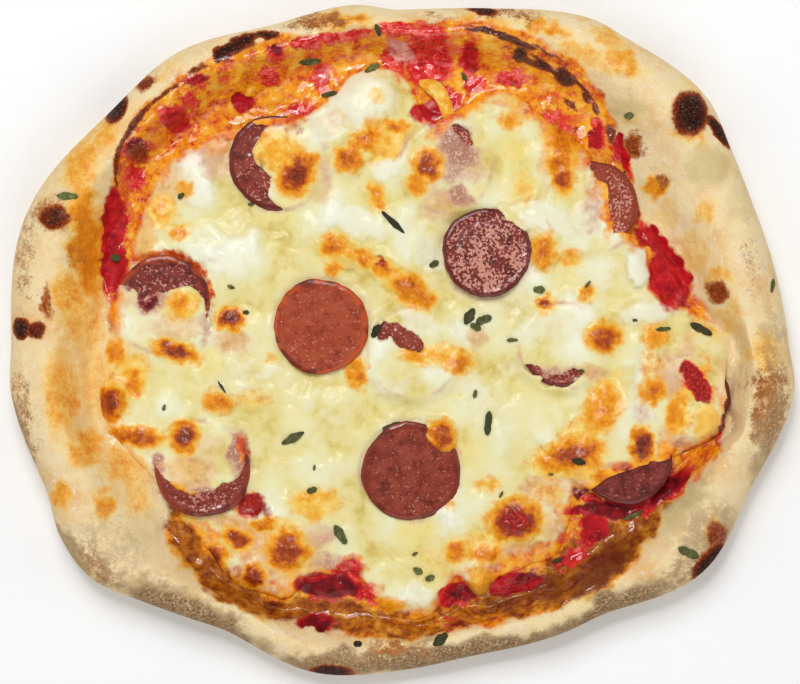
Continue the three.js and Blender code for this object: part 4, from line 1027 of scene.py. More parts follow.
def outline_shift() -> tuple[float, float]:
    """How far the pinsa's middle is moved so that the box of its outline is centred.

    Returns:
        The shift in X and Y, in mm.
    """
    angle = np.linspace(0.0, 2.0 * np.pi, 3600, endpoint=False)
    x, y = polar(OUTER_EDGE.radius(angle), angle)
    return -(x.min() + x.max()) / 2, -(y.min() + y.max()) / 2


SHIFT = outline_shift()


@dataclass
class Skin:
    """A mesh in the making: points in mm, faces, and what is painted on the points."""

    points: Array
    faces: list[Array]
    patches: dict[str, Array]

    def build(self, name: str, material: Material) -> bpy.types.Object:
        """Puts the arrays into a mesh in metres.

        Args:
            name: The piece's name.
            material: Its finish.

        Returns:
            The new object, at the origin, unturned and unscaled.
        """
        mesh = bpy.data.meshes.new(name)
        moved = (self.points + (SHIFT[0], SHIFT[1], 0.0)) * MM
        corners = np.concatenate([face.ravel() for face in self.faces])
        counts = np.concatenate([np.full(len(face), face.shape[1]) for face in self.faces])
        starts = np.concatenate([[0], np.cumsum(counts)[:-1]])
        mesh.vertices.add(len(moved))
        mesh.vertices.foreach_set("co", moved.astype(np.float32).ravel())
        mesh.loops.add(len(corners))
        mesh.loops.foreach_set("vertex_index", corners.astype(np.int32))
        mesh.polygons.add(len(counts))
        mesh.polygons.foreach_set("loop_start", starts.astype(np.int32))
        mesh.polygons.foreach_set("use_smooth", np.ones(len(counts), dtype=bool))
        mesh.update(calc_edges=True)
        for patch, values in self.patches.items():
            attribute = mesh.attributes.new(patch, "FLOAT", "POINT")
            attribute.data.foreach_set("value", values.astype(np.float32))
        mesh.materials.append(material)
        piece = bpy.data.objects.new(name, mesh)
        bpy.context.scene.collection.objects.link(piece)
        return piece


def ring_faces(rings: int, count: int, start: int = 0) -> Array:
    """Four-cornered faces between rings of `count` points each, listed ring after ring.

    Args:
        rings: How many rings there are.
        count: How many points each has.
        start: Index of the first point.

    Returns:
        The corners of each face.
    """
    ring, step = np.meshgrid(np.arange(rings - 1), np.arange(count), indexing="ij")
    here = start + ring * count + step
    beside = start + ring * count + (step + 1) % count
    return np.stack([here, beside, beside + count, here + count], axis=-1).reshape(-1, 4)


def fan_faces(pole: int, start: int, count: int, upward: bool) -> Array:
    """Triangles from a pole to a ring of points.

    Args:
        pole: Index of the pole.
        start: Index of the ring's first point.
        count: How many points the ring has.
        upward: Whether the triangles face up.

    Returns:
        The corners of each triangle.
    """
    step = np.arange(count)
    here, beside = start + step, start + (step + 1) % count
    pair = (here, beside) if upward else (beside, here)
    return np.stack([np.full(count, pole), *pair], axis=-1)


def shell(rings: list[Array], bottom: Array, top: Array) -> tuple[Array, list[Array]]:
    """Points and faces of a closed shell from rings, bottom ring first, with a pole at each end.

    Args:
        rings: The rings, with the same number of points each.
        bottom, top: The poles.

    Returns:
        The points, and the faces in groups of one shape.
    """
    count = len(rings[0])
    points = np.vstack([*rings, bottom[None, :], top[None, :]])
    last = (len(rings) - 1) * count
    poles = len(rings) * count
    faces = [ring_faces(len(rings), count), fan_faces(poles, 0, count, False),
             fan_faces(poles + 1, last, count, True)]
    return points, faces


def disc(rings: int) -> tuple[Array, Array, Array]:
    """Even triangles over a disc, where ring k has 6k points.

    Args:
        rings: How many rings there are.

    Returns:
        The share of the radius and the angle of each point, and the triangles, facing up.
    """
    shares, angles = [np.zeros(1)], [np.zeros(1)]
    for k in range(1, rings + 1):
        shares.append(np.full(6 * k, k / rings))
        angles.append(turns(6 * k))
    triangles = []
    for k in range(1, rings + 1):
        sector, step = (grid.ravel() for grid in np.meshgrid(np.arange(6), np.arange(k)))
        outer, inner = sector * k + step, sector * (k - 1) + step
        here, there = ring_point(k, outer), ring_point(k, outer + 1)
        triangles.append(np.stack([here, there, ring_point(k - 1, inner)], axis=-1))
        short = step < k - 1
        triangles.append(np.stack([ring_point(k - 1, inner[short]), there[short],
                                   ring_point(k - 1, inner[short] + 1)], axis=-1))
    return np.concatenate(shares), np.concatenate(angles), np.vstack(triangles)


def ring_point(ring: int, step: Array) -> Array:
    """Index of a point of a disc, counted round its ring.

    Args:
        ring: Which ring.
        step: Places round the ring.

    Returns:
        The index of each point.
    """
    if ring == 0:
        return np.zeros_like(step)
    return 1 + 3 * ring * (ring - 1) + step % (6 * ring)


def circle(angle: Array, radius: Array, height: Array) -> Array:
    """A ring of points."""
    return np.stack([*polar(radius, angle), np.broadcast_to(height, angle.shape)], axis=-1)


# ------------------------------------------------------------------ finishes

def linear(hex_colour: str) -> tuple[float, float, float, float]:
    """An sRGB hex colour as linear red, green, blue and alpha.

    Args:
        hex_colour: The colour, such as #F0D9A8.

    Returns:
        The four parts, from 0 to 1.
    """
    parts = [int(hex_colour[k:k + 2], 16) / 255 for k in (1, 3, 5)]
    curve = [p / 12.92 if p <= 0.04045 else ((p + 0.055) / 1.055) ** 2.4 for p in parts]
    return (*curve, 1.0)


def per_mm(size: float) -> float:
    """Scale of a pattern whose waves are `size` mm long, for coordinates in metres."""
    return 1.0 / (size * MM)


def add(tree: bpy.types.NodeTree, kind: str, settings: dict | None = None,
        inputs: dict | None = None) -> bpy.types.Node:
    """Adds a node with its settings and links.

    Args:
        tree: The material's node tree.
        kind: The node's type.
        settings: Its properties; "stops" are a colour ramp's (place, colour) pairs.
        inputs: For each socket, by name or number, another socket to link or a value.

    Returns:
        The new node.
    """
    node = tree.nodes.new(kind)
    for name, value in (settings or {}).items():
        if name == "stops":
            ramp = node.color_ramp
            while len(ramp.elements) < len(value):
                ramp.elements.new(0.5)
            for element, (place, colour) in zip(ramp.elements, value):
                element.position = place
                element.color = linear(colour)
        else:
            setattr(node, name, value)
    for name, value in (inputs or {}).items():
        socket = node.inputs[name]
        if isinstance(value, Socket):
            tree.links.new(value, socket)
        else:
            socket.default_value = value
    return node


class Palette(Enum):
    """Which finish the top coat of a piece has."""

    DOUGH = "dough"
    SAUCE = "sauce"
    CHEESE = "cheese"


@dataclass(frozen=True)
class Gloss:
    """How a top coat takes the light; its fine relief is in mm."""

    relief: float
    roughness: float
    specular: float
    coat_roughness: float


@dataclass(frozen=True)
class Glow:
    """How light spreads inside the cheese: red farthest, as in milk, 2 mm deep."""

    weight: float = 0.15
    radius: tuple[float, float, float] = (1.0, 0.7, 0.4)
    depth: float = 2.0


# Floury dough is matt, wet tomato shines, and melted cheese lies between.
GLOSS = {
    Palette.DOUGH: Gloss(0.24, 0.9, 0.1, 0.28),
    Palette.SAUCE: Gloss(0.5, 0.6, 0.15, 0.08),
    Palette.CHEESE: Gloss(0.14, 0.5, 0.2, 0.17),
}


@dataclass(frozen=True)
class DoughFinish:
    """Wheat dough baked on stone: matt, floury, cream to tan, charred where it blistered."""

    cream: str = "#F0D9A8"
    pale: str = "#F8EBCC"
    gold: str = "#E6B878"
    tan: str = "#B9773F"
    tan_deep: str = "#9A5B2C"
    damp: str = "#C9B781"
    speck: str = "#C08A50"
    ash: tuple = ((0.3, "#6B4A2C"), (0.46, "#957352"), (0.6, "#B4986E"), (0.78, "#DCC9A0"))
    painted_char_glint: str = "#98845C"
    oil: tuple = ((0.2, "#F5D47C"), (0.45, "#F2BE4C"), (0.7, "#EEA22A"), (1.0, "#DC7E10"))
    char: tuple = ((0.0, "#D08A3C"), (0.22, "#A8501A"), (0.44, "#7A2E14"), (0.68, "#4C1E14"),
                   (0.95, "#22140F"))


@dataclass(frozen=True)
class SauceFinish:
    """Crushed tomato: wet and red where thick, dried to orange where it baked thin."""

    dried: tuple = ((0.24, "#F8C04C"), (0.42, "#F5A41A"), (0.55, "#EC8C0C"), (0.67, "#DE680A"),
                    (0.77, "#C23E0C"), (0.88, "#8C1E08"))
    umber: tuple = ((0.3, "#C8822A"), (0.46, "#B4640E"), (0.58, "#964806"), (0.74, "#6C2606"))
    umber_dark: str = "#5E210E"
    tomato: tuple = ((0.28, "#94060E"), (0.42, "#C8101A"), (0.54, "#DE2826"), (0.68, "#F0685A"))
    pool: tuple = ((0.3, "#8C0410"), (0.5, "#B40C18"), (0.7, "#D02226"))
    deep: tuple = ((0.3, "#4A0208"), (0.5, "#720610"), (0.7, "#981018"))
    # Pale pink of painted glints of light on the wet tomato.
    oil_glint: str = "#EC9C86"
    haze: tuple = ((0.3, "#C45C52"), (0.5, "#DC8A80"), (0.7, "#EEB8AC"))


@dataclass(frozen=True)
class CheeseFinish:
    """Mozzarella, melted and browned: soft gloss, ivory, yellow where the fat has run out."""

    # Low stops colour the curds' hollows, darkened as painted shade; high stops their tops.
    ivory: tuple = ((0.08, "#D2BA62"), (0.28, "#E3D48A"), (0.5, "#E9E0A8"), (0.72, "#EAE7BF"),
                    (0.95, "#F2F2DC"))
    white: str = "#F0F1E0"
    fat: str = "#EDDC86"
    film: tuple = ((0.3, "#CE9858"), (0.48, "#E0B680"), (0.62, "#EACA9E"), (0.78, "#EFDAB8"))
    amber: tuple = ((0.3, "#F8DC88"), (0.45, "#F3C254"), (0.56, "#E9A434"), (0.7, "#D27E1C"))
    butter: tuple = ((0.3, "#F7DE88"), (0.5, "#F3CB60"), (0.7, "#ECB03A"))
    rose: str = "#D2A088"
    mauve: str = "#A25A4E"
    red: tuple = ((0.3, "#6E0404"), (0.55, "#A81410"), (0.75, "#D04A26"))
    arc: tuple = ((0.3, "#B02810"), (0.5, "#D04A14"), (0.68, "#EC8A28"))
    wine: tuple = ((0.3, "#4E0A10"), (0.5, "#781A1E"), (0.66, "#A04A48"), (0.78, "#D8A098"))
    # Pale pink of fat grains and painted glints on the sausage under the cheese.
    skin: str = "#E6C6B6"
    toast: tuple = ((0.0, "#F4DC84"), (0.14, "#F4C648"), (0.3, "#F0AC22"), (0.46, "#E8940C"),
                    (0.6, "#D47404"), (0.75, "#A84408"), (0.95, "#6A1E08"))


@dataclass(frozen=True)
class Finishes:
    """The colours of all finishes, for the one chain of colour that they share."""

    dough: DoughFinish = DoughFinish()
    sauce: SauceFinish = SauceFinish()
    cheese: CheeseFinish = CheeseFinish()


class Food:
    """Builds a food material: one chain of colour, with a top coat for its own piece."""

    def __init__(self, name: str, palette: Palette, finishes: Finishes) -> None:
        """Starts an empty material of this name.

        Args:
            name: The material's name.
            palette: Whose top coat it has.
            finishes: The colours.
        """
        self.material = bpy.data.materials.new(name)
        self.material.use_nodes = True
        self.tree = self.material.node_tree
        self.tree.nodes.clear()
        self.palette = palette
        self.finishes = finishes
        self.where = add(self.tree, "ShaderNodeTexCoord").outputs["Object"]

    def grain(self, size: float, detail: float = 4.0, rough: float = 0.6) -> Socket:
        """Random grain of waves `size` mm long.

        Args:
            size: Length of the waves, in mm.
            detail: How many finer waves are added.
            rough: How strong those are.

        Returns:
            The grain, from 0 to 1.
        """
        return add(self.tree, "ShaderNodeTexNoise", {}, {
            "Vector": self.where, "Scale": per_mm(size), "Detail": detail,
            "Roughness": rough}).outputs["Fac"]

    def patch(self, name: str) -> Socket:
        """What is painted on the points under this name."""
        return add(self.tree, "ShaderNodeAttribute", {"attribute_name": name}).outputs["Fac"]

    def ragged(self, mask: Socket, grain: Socket, amount: float, low: float, high: float) -> Socket:
        """A mask with its edge broken by grain, then stretched so that low to high is 0 to 1.

        Args:
            mask: The mask.
            grain: The grain.
            amount: How far the grain shifts the mask.
            low, high: Where the ragged mask begins and where it is full.

        Returns:
            The ragged mask, from 0 to 1.
        """
        shifted = add(self.tree, "ShaderNodeMath", {"operation": "MULTIPLY_ADD"},
                      {0: grain, 1: amount, 2: mask}).outputs[0]
        return add(self.tree, "ShaderNodeMapRange", {"interpolation_type": "SMOOTHSTEP"}, {
            "Value": shifted, "From Min": low + amount / 2, "From Max": high + amount / 2,
        }).outputs["Result"]

    def mix(self, share: Socket | float, below: object, above: object) -> Socket:
        """One colour over another; a colour is a hex value or a socket.

        Args:
            share: How opaque the upper colour is.
            below, above: The colours.

        Returns:
            The mixed colour.
        """
        sides = {6: below, 7: above}
        sides = {k: linear(v) if isinstance(v, str) else v for k, v in sides.items()}
        return add(self.tree, "ShaderNodeMix", {"data_type": "RGBA"},
                   {0: share, **sides}).outputs[2]

    def ramp(self, level: Socket, stops: tuple) -> Socket:
        """A colour for each level, from a row of (level, colour) stops."""
        return add(self.tree, "ShaderNodeValToRGB", {"stops": stops},
                   {"Fac": level}).outputs["Color"]

    def times(self, first: object, second: object) -> Socket:
        """Product of two values."""
        return add(self.tree, "ShaderNodeMath", {"operation": "MULTIPLY"},
                   {0: first, 1: second}).outputs[0]

    def plus(self, first: object, second: object, share: float) -> Socket:
        """First value plus a share of the second, less half of that share.

        Args:
            first, second: The values.
            share: How much of the second is added.

        Returns:
            The sum.
        """
        total = add(self.tree, "ShaderNodeMath", {"operation": "MULTIPLY_ADD"},
                    {0: second, 1: share, 2: first}).outputs[0]
        return add(self.tree, "ShaderNodeMath", {"operation": "SUBTRACT"},
                   {0: total, 1: share / 2}).outputs[0]

    def coat(self, colour: Socket, name: str, grain: Socket, edges: tuple[float, float, float],
             above: object, share: float = 1.0) -> Socket:
        """Lays a colour where a patch is painted.

        Args:
            colour: The colour so far.
            name: The patch.
            grain: The grain that breaks its edge.
            edges: How far the grain shifts it, where it begins and where it is full.
            above: The colour that is laid, a hex value or a socket.
            share: How opaque it is.

        Returns:
            The colour with the new one on it.
        """
        mask = self.ragged(self.patch(name), grain, *edges)
        if share < 1.0:
            mask = self.times(mask, share)
        return self.mix(mask, colour, above)

    def between(self, name: str, low: float, high: float) -> Socket:
        """A value from low, where a patch is not, to high, where it is full."""
        return add(self.tree, "ShaderNodeMapRange", {}, {
            "Value": self.patch(name), "To Min": low, "To Max": high}).outputs["Result"]

    def dough_colour(self) -> Socket:
        """Cream dough with specks, oiled and tan patches, floury grey brown partly painted as shade, and
        olive painted shade.

        Returns:
            The colour.
        """
        tone = self.finishes.dough
        broad, mid, fine = self.grain(14, 4), self.grain(3.2, 5, 0.65), self.grain(0.8, 3, 0.7)
        colour = self.mix(self.ragged(broad, mid, 0.6, 0.4, 0.72), tone.cream, tone.gold)
        colour = self.mix(self.ragged(mid, fine, 0.5, 0.5, 0.7), colour, tone.pale)
        specks = self.times(self.ragged(fine, mid, 0.5, 0.56, 0.72), 0.4)
        colour = self.mix(specks, colour, tone.speck)
        oiled = self.ramp(self.plus(self.plus(self.patch("oil"), mid, 1.1), fine, 0.5), tone.oil)
        colour = self.coat(colour, "oil", mid, (0.5, 0.0, 0.85), oiled)
        toasted = self.mix(self.ragged(mid, fine, 0.7, 0.35, 0.65), tone.tan, tone.tan_deep)
        colour = self.coat(colour, "tan", self.plus(mid, fine, 0.5), (1.4, 0.25, 0.9), toasted)
        # Floury grey brown, partly painted shade on the near side of the rim.
        floury_shade = self.ramp(self.plus(fine, mid, 0.5), tone.ash)
        colour = self.coat(colour, "ash", self.plus(mid, fine, 0.6), (1.0, 0.15, 0.85), floury_shade)
        # Olive painted shade on the inner slope.
        return self.coat(colour, "damp", mid, (0.5, 0.2, 0.9), tone.damp, 0.7)

    def sauce_colour(self, below: Socket) -> Socket:
        """Dried orange sauce over the dough, with red and dark red tomato, pools and painted glints on
        it.

        Args:
            below: The colour of the dough.

        Returns:
            The colour.
        """
        tone = self.finishes.sauce
        mid, fine = self.grain(3.4, 3, 0.55), self.grain(1.1, 2, 0.5)
        mottle, calm = self.plus(mid, fine, 0.45), self.plus(mid, fine, 0.3)
        # Yellower on the lumps' tops and redder in their hollows: painted highlight and shade.
        coarse = self.plus(self.grain(6.0, 2), self.patch("lump"), -0.4)
        umber = self.ramp(calm, tone.umber)
        brown = self.mix(self.times(self.patch("dark"), 0.8), umber, tone.umber_dark)
        dried = self.ramp(self.plus(mottle, coarse, 0.62), tone.dried)
        dried = self.coat(dried, "umber", mid, (0.9, 0.15, 0.75), brown)
        colour = self.coat(below, "baked", mottle, (0.6, 0.15, 0.85), dried)
        tomato, deep = self.ramp(mottle, tone.tomato), self.ramp(mottle, tone.deep)
        tomato = self.coat(tomato, "dark", mid, (0.9, 0.2, 0.8), deep)
        juicy = self.times(self.patch("baked"), self.ragged(self.patch("umber"), mid, 0.3, 0.5, 0.1))
        flecks = self.times(self.ragged(self.grain(5.0, 1), fine, 0.2, 0.6, 0.67), 0.45)
        colour = self.mix(self.times(flecks, juicy), colour, tomato)
        colour = self.coat(colour, "red", mottle, (0.9, 0.2, 0.8), tomato)
        pool = self.ramp(calm, tone.pool)
        pool = self.coat(pool, "dark", mid, (0.3, 0.3, 0.7), self.ramp(mid, tone.deep))
        colour = self.coat(colour, "pool", fine, (0.2, 0.2, 0.7), pool)
        # Painted glints: pale specks of highlight on the juicy tomato, kept off the pools.
        glints = self.times(self.ragged(self.grain(0.8, 1), mid, 0.5, 0.62, 0.7), 0.45)
        dull = self.times(juicy, self.ragged(self.patch("pool"), mid, 0.2, 0.6, 0.1))
        colour = self.mix(self.times(glints, dull), colour, tone.oil_glint)
        return self.coat(colour, "haze", mid, (0.5, 0.25, 0.85), self.ramp(mottle, tone.haze))

    def charred(self, below: Socket) -> Socket:
        """Brown to black where the rim has burnt, with painted grey glints of light on it.

        Args:
            below: The colour of what has burnt.

        Returns:
            The colour.
        """
        tone, grain = self.finishes.dough, self.grain(1.1, 4, 0.7)
        burnt = self.ramp(self.plus(self.times(self.patch("char"), 0.86), grain, 1.3), tone.char)
        # Painted grey glints of light on the char.
        painted_char_glint = self.times(self.ragged(self.grain(0.7, 2), grain, 0.4, 0.58, 0.7), 0.4)
        burnt = self.mix(painted_char_glint, burnt, tone.painted_char_glint)
        return self.coat(below, "char", grain, (0.4, 0.05, 0.4), burnt)

    def cheese_colour(self, below: Socket) -> Socket:
        """Ivory cheese over what it lies on, with fat, film, blush, red and browning on it.

        Args:
            below: The colour of what the cheese lies on, which shows where it is thin.

        Returns:
            The colour.
        """
        tone = self.finishes.cheese
        broad, mid, fine = self.grain(8, 3), self.grain(2.6, 3, 0.55), self.grain(0.9, 2, 0.55)
        # Ivory by curd height: the darker, yellower hollows are partly painted shade.
        relief = self.plus(self.plus(self.patch("curd"), broad, 0.5), mid, 0.5)
        colour = self.ramp(relief, tone.ivory)
        # Fat yellow; where it stands for shade on the cheese it is painted shade.
        colour = self.coat(colour, "fat", mid, (0.7, 0.1, 0.9), tone.fat, 0.6)
        # White of unmelted cheese; in two places a painted highlight.
        colour = self.coat(colour, "white", mid, (0.5, 0.2, 0.9), tone.white, 0.7)
        film = self.ramp(self.plus(broad, mid, 0.8), tone.film)
        colour = self.coat(colour, "film", mid, (0.6, 0.15, 0.85), film, 0.92)
        amber = self.ramp(self.plus(mid, fine, 0.6), tone.amber)
        colour = self.coat(colour, "amber", mid, (0.6, 0.2, 1.0), amber, 0.85)
        golden = self.ramp(self.plus(broad, mid, 0.5), tone.butter)
        colour = self.coat(colour, "butter", mid, (0.4, 0.15, 0.85), golden, 0.9)
        streaks = self.ragged(self.patch("blush"), self.plus(mid, fine, 0.9), 1.3, 0.45, 1.05)
        veiled = self.mix(streaks, tone.rose, tone.mauve)
        # Pale pink specks on the blush: the sausage's fat grains and painted glints, seen through the
        # cheese.
        veiled = self.mix(self.times(self.ragged(fine, mid, 0.4, 0.52, 0.64), 0.6), veiled, tone.skin)
        colour = self.coat(colour, "blush", mid, (1.1, 0.1, 0.85), veiled, 0.88)
        colour = self.coat(below, "milk", mid, (0.7, 0.15, 0.8), colour)
        arc = self.ramp(self.plus(mid, fine, 0.5), tone.arc)
        colour = self.coat(colour, "arc", mid, (0.7, 0.25, 0.85), arc)
        wine = self.ramp(self.plus(mid, fine, 0.9), tone.wine)
        colour = self.coat(colour, "wine", mid, (0.5, 0.25, 0.8), wine)
        level = self.plus(self.patch("toast"), self.plus(mid, fine, 0.5), 0.62)
        colour = self.coat(colour, "toast", mid, (0.45, 0.0, 0.46), self.ramp(level, tone.toast))
        return self.coat(colour, "rosy", mid, (0.7, 0.3, 0.85), self.ramp(fine, tone.red))

    def finish(self) -> Material:
        """Links the colour chain to the surface, with the gloss and bump of this piece.

        Returns:
            The finished material.
        """
        tree, gloss = self.tree, GLOSS[self.palette]
        colour = self.charred(self.sauce_colour(self.dough_colour()))
        if self.palette is Palette.CHEESE:
            colour = self.cheese_colour(colour)
        height = add(tree, "ShaderNodeMath", {"operation": "MULTIPLY_ADD"},
                     {0: self.grain(0.5, 2), 1: 0.5, 2: self.grain(1.5, 4, 0.6)}).outputs[0]
        bump = add(tree, "ShaderNodeBump", {}, {
            "Height": height, "Strength": 1.0, "Distance": gloss.relief * MM}).outputs["Normal"]
        inputs = {"Base Color": colour, "Normal": bump, "Roughness": gloss.roughness,
                  "Specular IOR Level": gloss.specular, "Coat Roughness": gloss.coat_roughness}
        if self.palette is Palette.DOUGH:
            inputs["Coat Weight"] = self.times(self.patch("oil"), 0.4)
        elif self.palette is Palette.SAUCE:
            inputs["Coat Weight"] = self.between("pool", 0.7, 0.3)
        else:
            inputs["Coat Weight"] = self.between("toast", 0.2, 0.36)
            inputs["Subsurface Weight"] = Glow.weight
            inputs["Subsurface Radius"] = Glow.radius
            inputs["Subsurface Scale"] = Glow.depth * MM
        return self.close(inputs)

    def close(self, inputs: dict) -> Material:
        """Ends the chain in a surface with these inputs and gives the finished material.

        Args:
            inputs: Values and sockets by the name of the shader's input.

        Returns:
            The finished material.
        """
        surface = add(self.tree, "ShaderNodeBsdfPrincipled", {}, inputs)
        add(self.tree, "ShaderNodeOutputMaterial", {}, {"Surface": surface.outputs["BSDF"]})
        return self.material


# ------------------------------------------------------------------ pieces

@dataclass
class Crust:
    """The dough: flat base, undercut wall, puffed rim and a flat floor under the toppings."""

    spokes: int = 900
    slope_rings: int = 62
    brow_rings: int = 20
    wall_rings: int = 10
    base_rings: int = 12
    base_hole: float = 0.1

    def build(self, material: Material) -> bpy.types.Object:
        """Rings from the base round the undercut wall, over the crest and in to the floor.

        Args:
            material: The finish.

        Returns:
            The piece, on its body, in its node's place.
        """
        angle = turns(self.spokes)
        outer, floor = OUTER_EDGE.radius(angle), TERRAIN.floor_edge(angle)
        crest, foot = TERRAIN.crest(angle), outer - TERRAIN.undercut
        waist = TERRAIN.waist * TERRAIN.rim_height(angle)
        shares = np.linspace(self.base_hole, 1.0, self.base_rings)
        rings = [circle(angle, foot * share, 0.0) for share in shares]
        for k in range(1, self.wall_rings + 1):
            share = k / self.wall_rings
            reach = foot + TERRAIN.undercut * np.sin(share * np.pi / 2)
            rings.append(circle(angle, reach, share * waist))
        for k in range(1, self.brow_rings + 1):
            reach = lerp(crest, outer, np.cos(k / self.brow_rings * np.pi / 2))
            rings.append(self.on_top(angle, reach))
        for k in range(1, self.slope_rings + 1):
            rings.append(self.on_top(angle, lerp(crest, floor - 1.0, k / self.slope_rings)))
        points, faces = shell(rings, np.zeros(3), np.array((0.0, 0.0, TERRAIN.base)))
        patches = painted(points)
        self.brown_underside(points, patches)
        piece = Skin(points, faces, patches).build("baked_crust", material)
        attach(piece, "root")
        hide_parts("crust")
        return piece

    def brown_underside(self, points: Array, patches: dict[str, Array]) -> None:
        """Keeps toppings off the wall and the base, and browns those where they met hot stone.

        Args:
            points: The crust's points.
            patches: What is painted on them, changed in place.
        """
        below = np.append(np.arange((self.base_rings + self.wall_rings) * self.spokes),
                          len(points) - 2)
        x, y, z = points[below].T
        up = smoothstep(1.0, 7.5, z)
        for name in ("baked", "red", "pool", "haze", "umber", "dark"):
            patches[name][below] = 0.0
        for name in ("char", "oil", "tan"):
            patches[name][below] *= up * smoothstep(-0.6, 0.5, fractal(x, y + 2.0 * z, 5, 79, 3))
        spotted = smoothstep(-0.3, 0.7, fractal(x, y, 16, 77, 3))
        patches["tan"][below] += (1.0 - up) * (0.25 + 0.6 * spotted)
        patches["ash"][below] = np.maximum(patches["ash"][below] * up, 0.35 * (1.0 - up))
        burnt = 0.7 * smoothstep(0.55, 0.95, fractal(x, y, 9, 78, 3)) * (z < 0.5)
        patches["char"][below] = np.maximum(patches["char"][below], burnt)

    def on_top(self, angle: Array, radius: Array) -> Array:
        """A ring of points on the crust's upper side."""
        x, y = polar(radius, angle)
        return np.stack([x, y, TERRAIN.crust_top(Places(x, y))], axis=-1)


@dataclass
class Sauce:
    """The tomato sauce: a thin layer on the floor and the inner slope of the rim."""

    spokes: int = 900
    rings: int = 74
    under_rings: int = 14
    tuck: float = 7.0
    overlap: float = 1.2
    sink: float = 0.25

    def build(self, material: Material) -> bpy.types.Object:
        """Rings of the underside outwards, then of the upper side inwards.

        Args:
            material: The finish.

        Returns:
            The piece, on its body, in its node's place.
        """
        angle = turns(self.spokes)
        edge = SAUCE_EDGE.radius(angle) + self.overlap
        inner = CHEESE_EDGE.radius(angle) - self.tuck
        rings = []
        for share in np.linspace(0.0, 1.0, self.under_rings):
            x, y = polar(lerp(inner, edge, share), angle)
            under = TERRAIN.crust_top(Places(x, y)) - self.sink * share
            rings.append(np.stack([x, y, under + 0.1 * (1 - share)], axis=-1))
        for share in np.linspace(1.0, 0.0, self.rings)[1:]:
            x, y = polar(lerp(inner, edge, share), angle)
            rings.append(np.stack([x, y, TERRAIN.sauce_top(Places(x, y))], axis=-1))
        points, faces = shell(rings, np.array((0.0, 0.0, TERRAIN.sauce_floor)),
                              np.array((0.0, 0.0, TERRAIN.sauce_floor + 0.6)))
        patches = painted(points)
        piece = Skin(points, faces, patches).build("tomato_sauce", material)
        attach(piece, "root")
        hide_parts("sauce")
        return piece


@dataclass
class Cheese:
    """The melted mozzarella: a lumpy sheet draped over most of the slices."""

    rings: int = 168
    fray: float = 0.8

    def build(self, material: Material) -> bpy.types.Object:
        """An even disc of triangles on top, an edge wall, and a flat underside.

        Args:
            material: The finish.

        Returns:
            The piece, on its body, in its node's place.
        """
        share, angle, triangles = disc(self.rings)
        frayed = self.fray * share ** 8 * fractal(*polar(60.0, angle), 7, 92, 3)
        x, y = polar(share * CHEESE_EDGE.radius(angle) + frayed, angle)
        z = TERRAIN.cheese_top(Places(x, y))
        count = 6 * self.rings
        rim = len(x) - count
        under = np.stack([x[rim:], y[rim:], np.full(count, TERRAIN.cheese_floor)], axis=-1)
        points = np.vstack([np.stack([x, y, z], axis=-1), under,
                            [(0.0, 0.0, TERRAIN.cheese_floor)]])
        step = np.arange(count)
        beside = (step + 1) % count
        wall = np.stack([len(x) + step, len(x) + beside, rim + beside, rim + step], axis=-1)
        faces = [triangles, wall, fan_faces(len(x) + count, len(x), count, False)]
        patches = painted(points)
        piece = Skin(points, faces, patches).build("melted_mozzarella", material)
        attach(piece, "root")
        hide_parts("cheese")
        return piece


@dataclass(frozen=True)
class SausageFinish:
    """Smoked pork sausage, cut across: red brown, oily and glossy, with pink specks of fat and painted
    glints.
    """

    brick: tuple = ((0.3, "#8A3014"), (0.5, "#AC4626"), (0.7, "#BC6038"))
    wine: tuple = ((0.3, "#480C0A"), (0.5, "#70241E"), (0.7, "#904238"))
    # Pale pink of the specks: fat grains and painted glints of light.
    fat_and_glint: str = "#DC9A88"
    blood: str = "#780E10"
    casing: str = "#C8521A"
    casing_dark: str = "#5E1410"

    def material(self, name: str, redness: float, fat_and_glint: float, rind: float) -> Material:
        """Meat of one slice.

        Args:
            name: The material's name.
            redness: 0 for brick, 1 for wine.
            fat_and_glint: How many pink specks it has: grains of fat and painted glints of light.
            rind: 0 for a dark casing, 1 for an orange one.

        Returns:
            The new material.
        """
        food = Food(name, Palette.DOUGH, Finishes())
        mid, fine, finest = food.grain(3.6, 4), food.grain(1.2, 4, 0.7), food.grain(0.85, 1.5)
        edge = food.patch("edge")
        meat = food.plus(mid, fine, 0.8)
        colour = food.mix(redness, food.ramp(meat, self.brick), food.ramp(meat, self.wine))
        glint = food.ragged(finest, food.patch("glint"), 0.2, 0.56, 0.62)
        colour = food.mix(food.times(food.ragged(fine, mid, 0.4, 0.5, 0.62), 0.25 + 0.5 * fat_and_glint),
                          colour, self.blood)
        # Pink specks laid over the meat: partly fat grains, partly painted glints.
        colour = food.mix(food.times(glint, 0.3 + 0.5 * fat_and_glint), colour, self.fat_and_glint)
        rim = food.mix(food.times(food.ragged(food.grain(8.0, 1), mid, 0.5, 0.32, 0.5), rind),
                       self.casing_dark, self.casing)
        colour = food.mix(food.times(food.ragged(edge, mid, 0.9, 0.35, 0.85), 0.8), colour, rim)
        bump = add(food.tree, "ShaderNodeBump", {}, {
            "Height": food.plus(glint, food.grain(2.2, 3), 1.6 * redness),
            "Strength": 0.35 + 0.3 * fat_and_glint, "Distance": 0.3 * MM}).outputs["Normal"]
        return food.close({
            "Base Color": colour, "Normal": bump, "Roughness": 0.55, "Specular IOR Level": 0.2,
            "Coat Weight": 0.3 + 0.3 * redness, "Coat Roughness": 0.14})


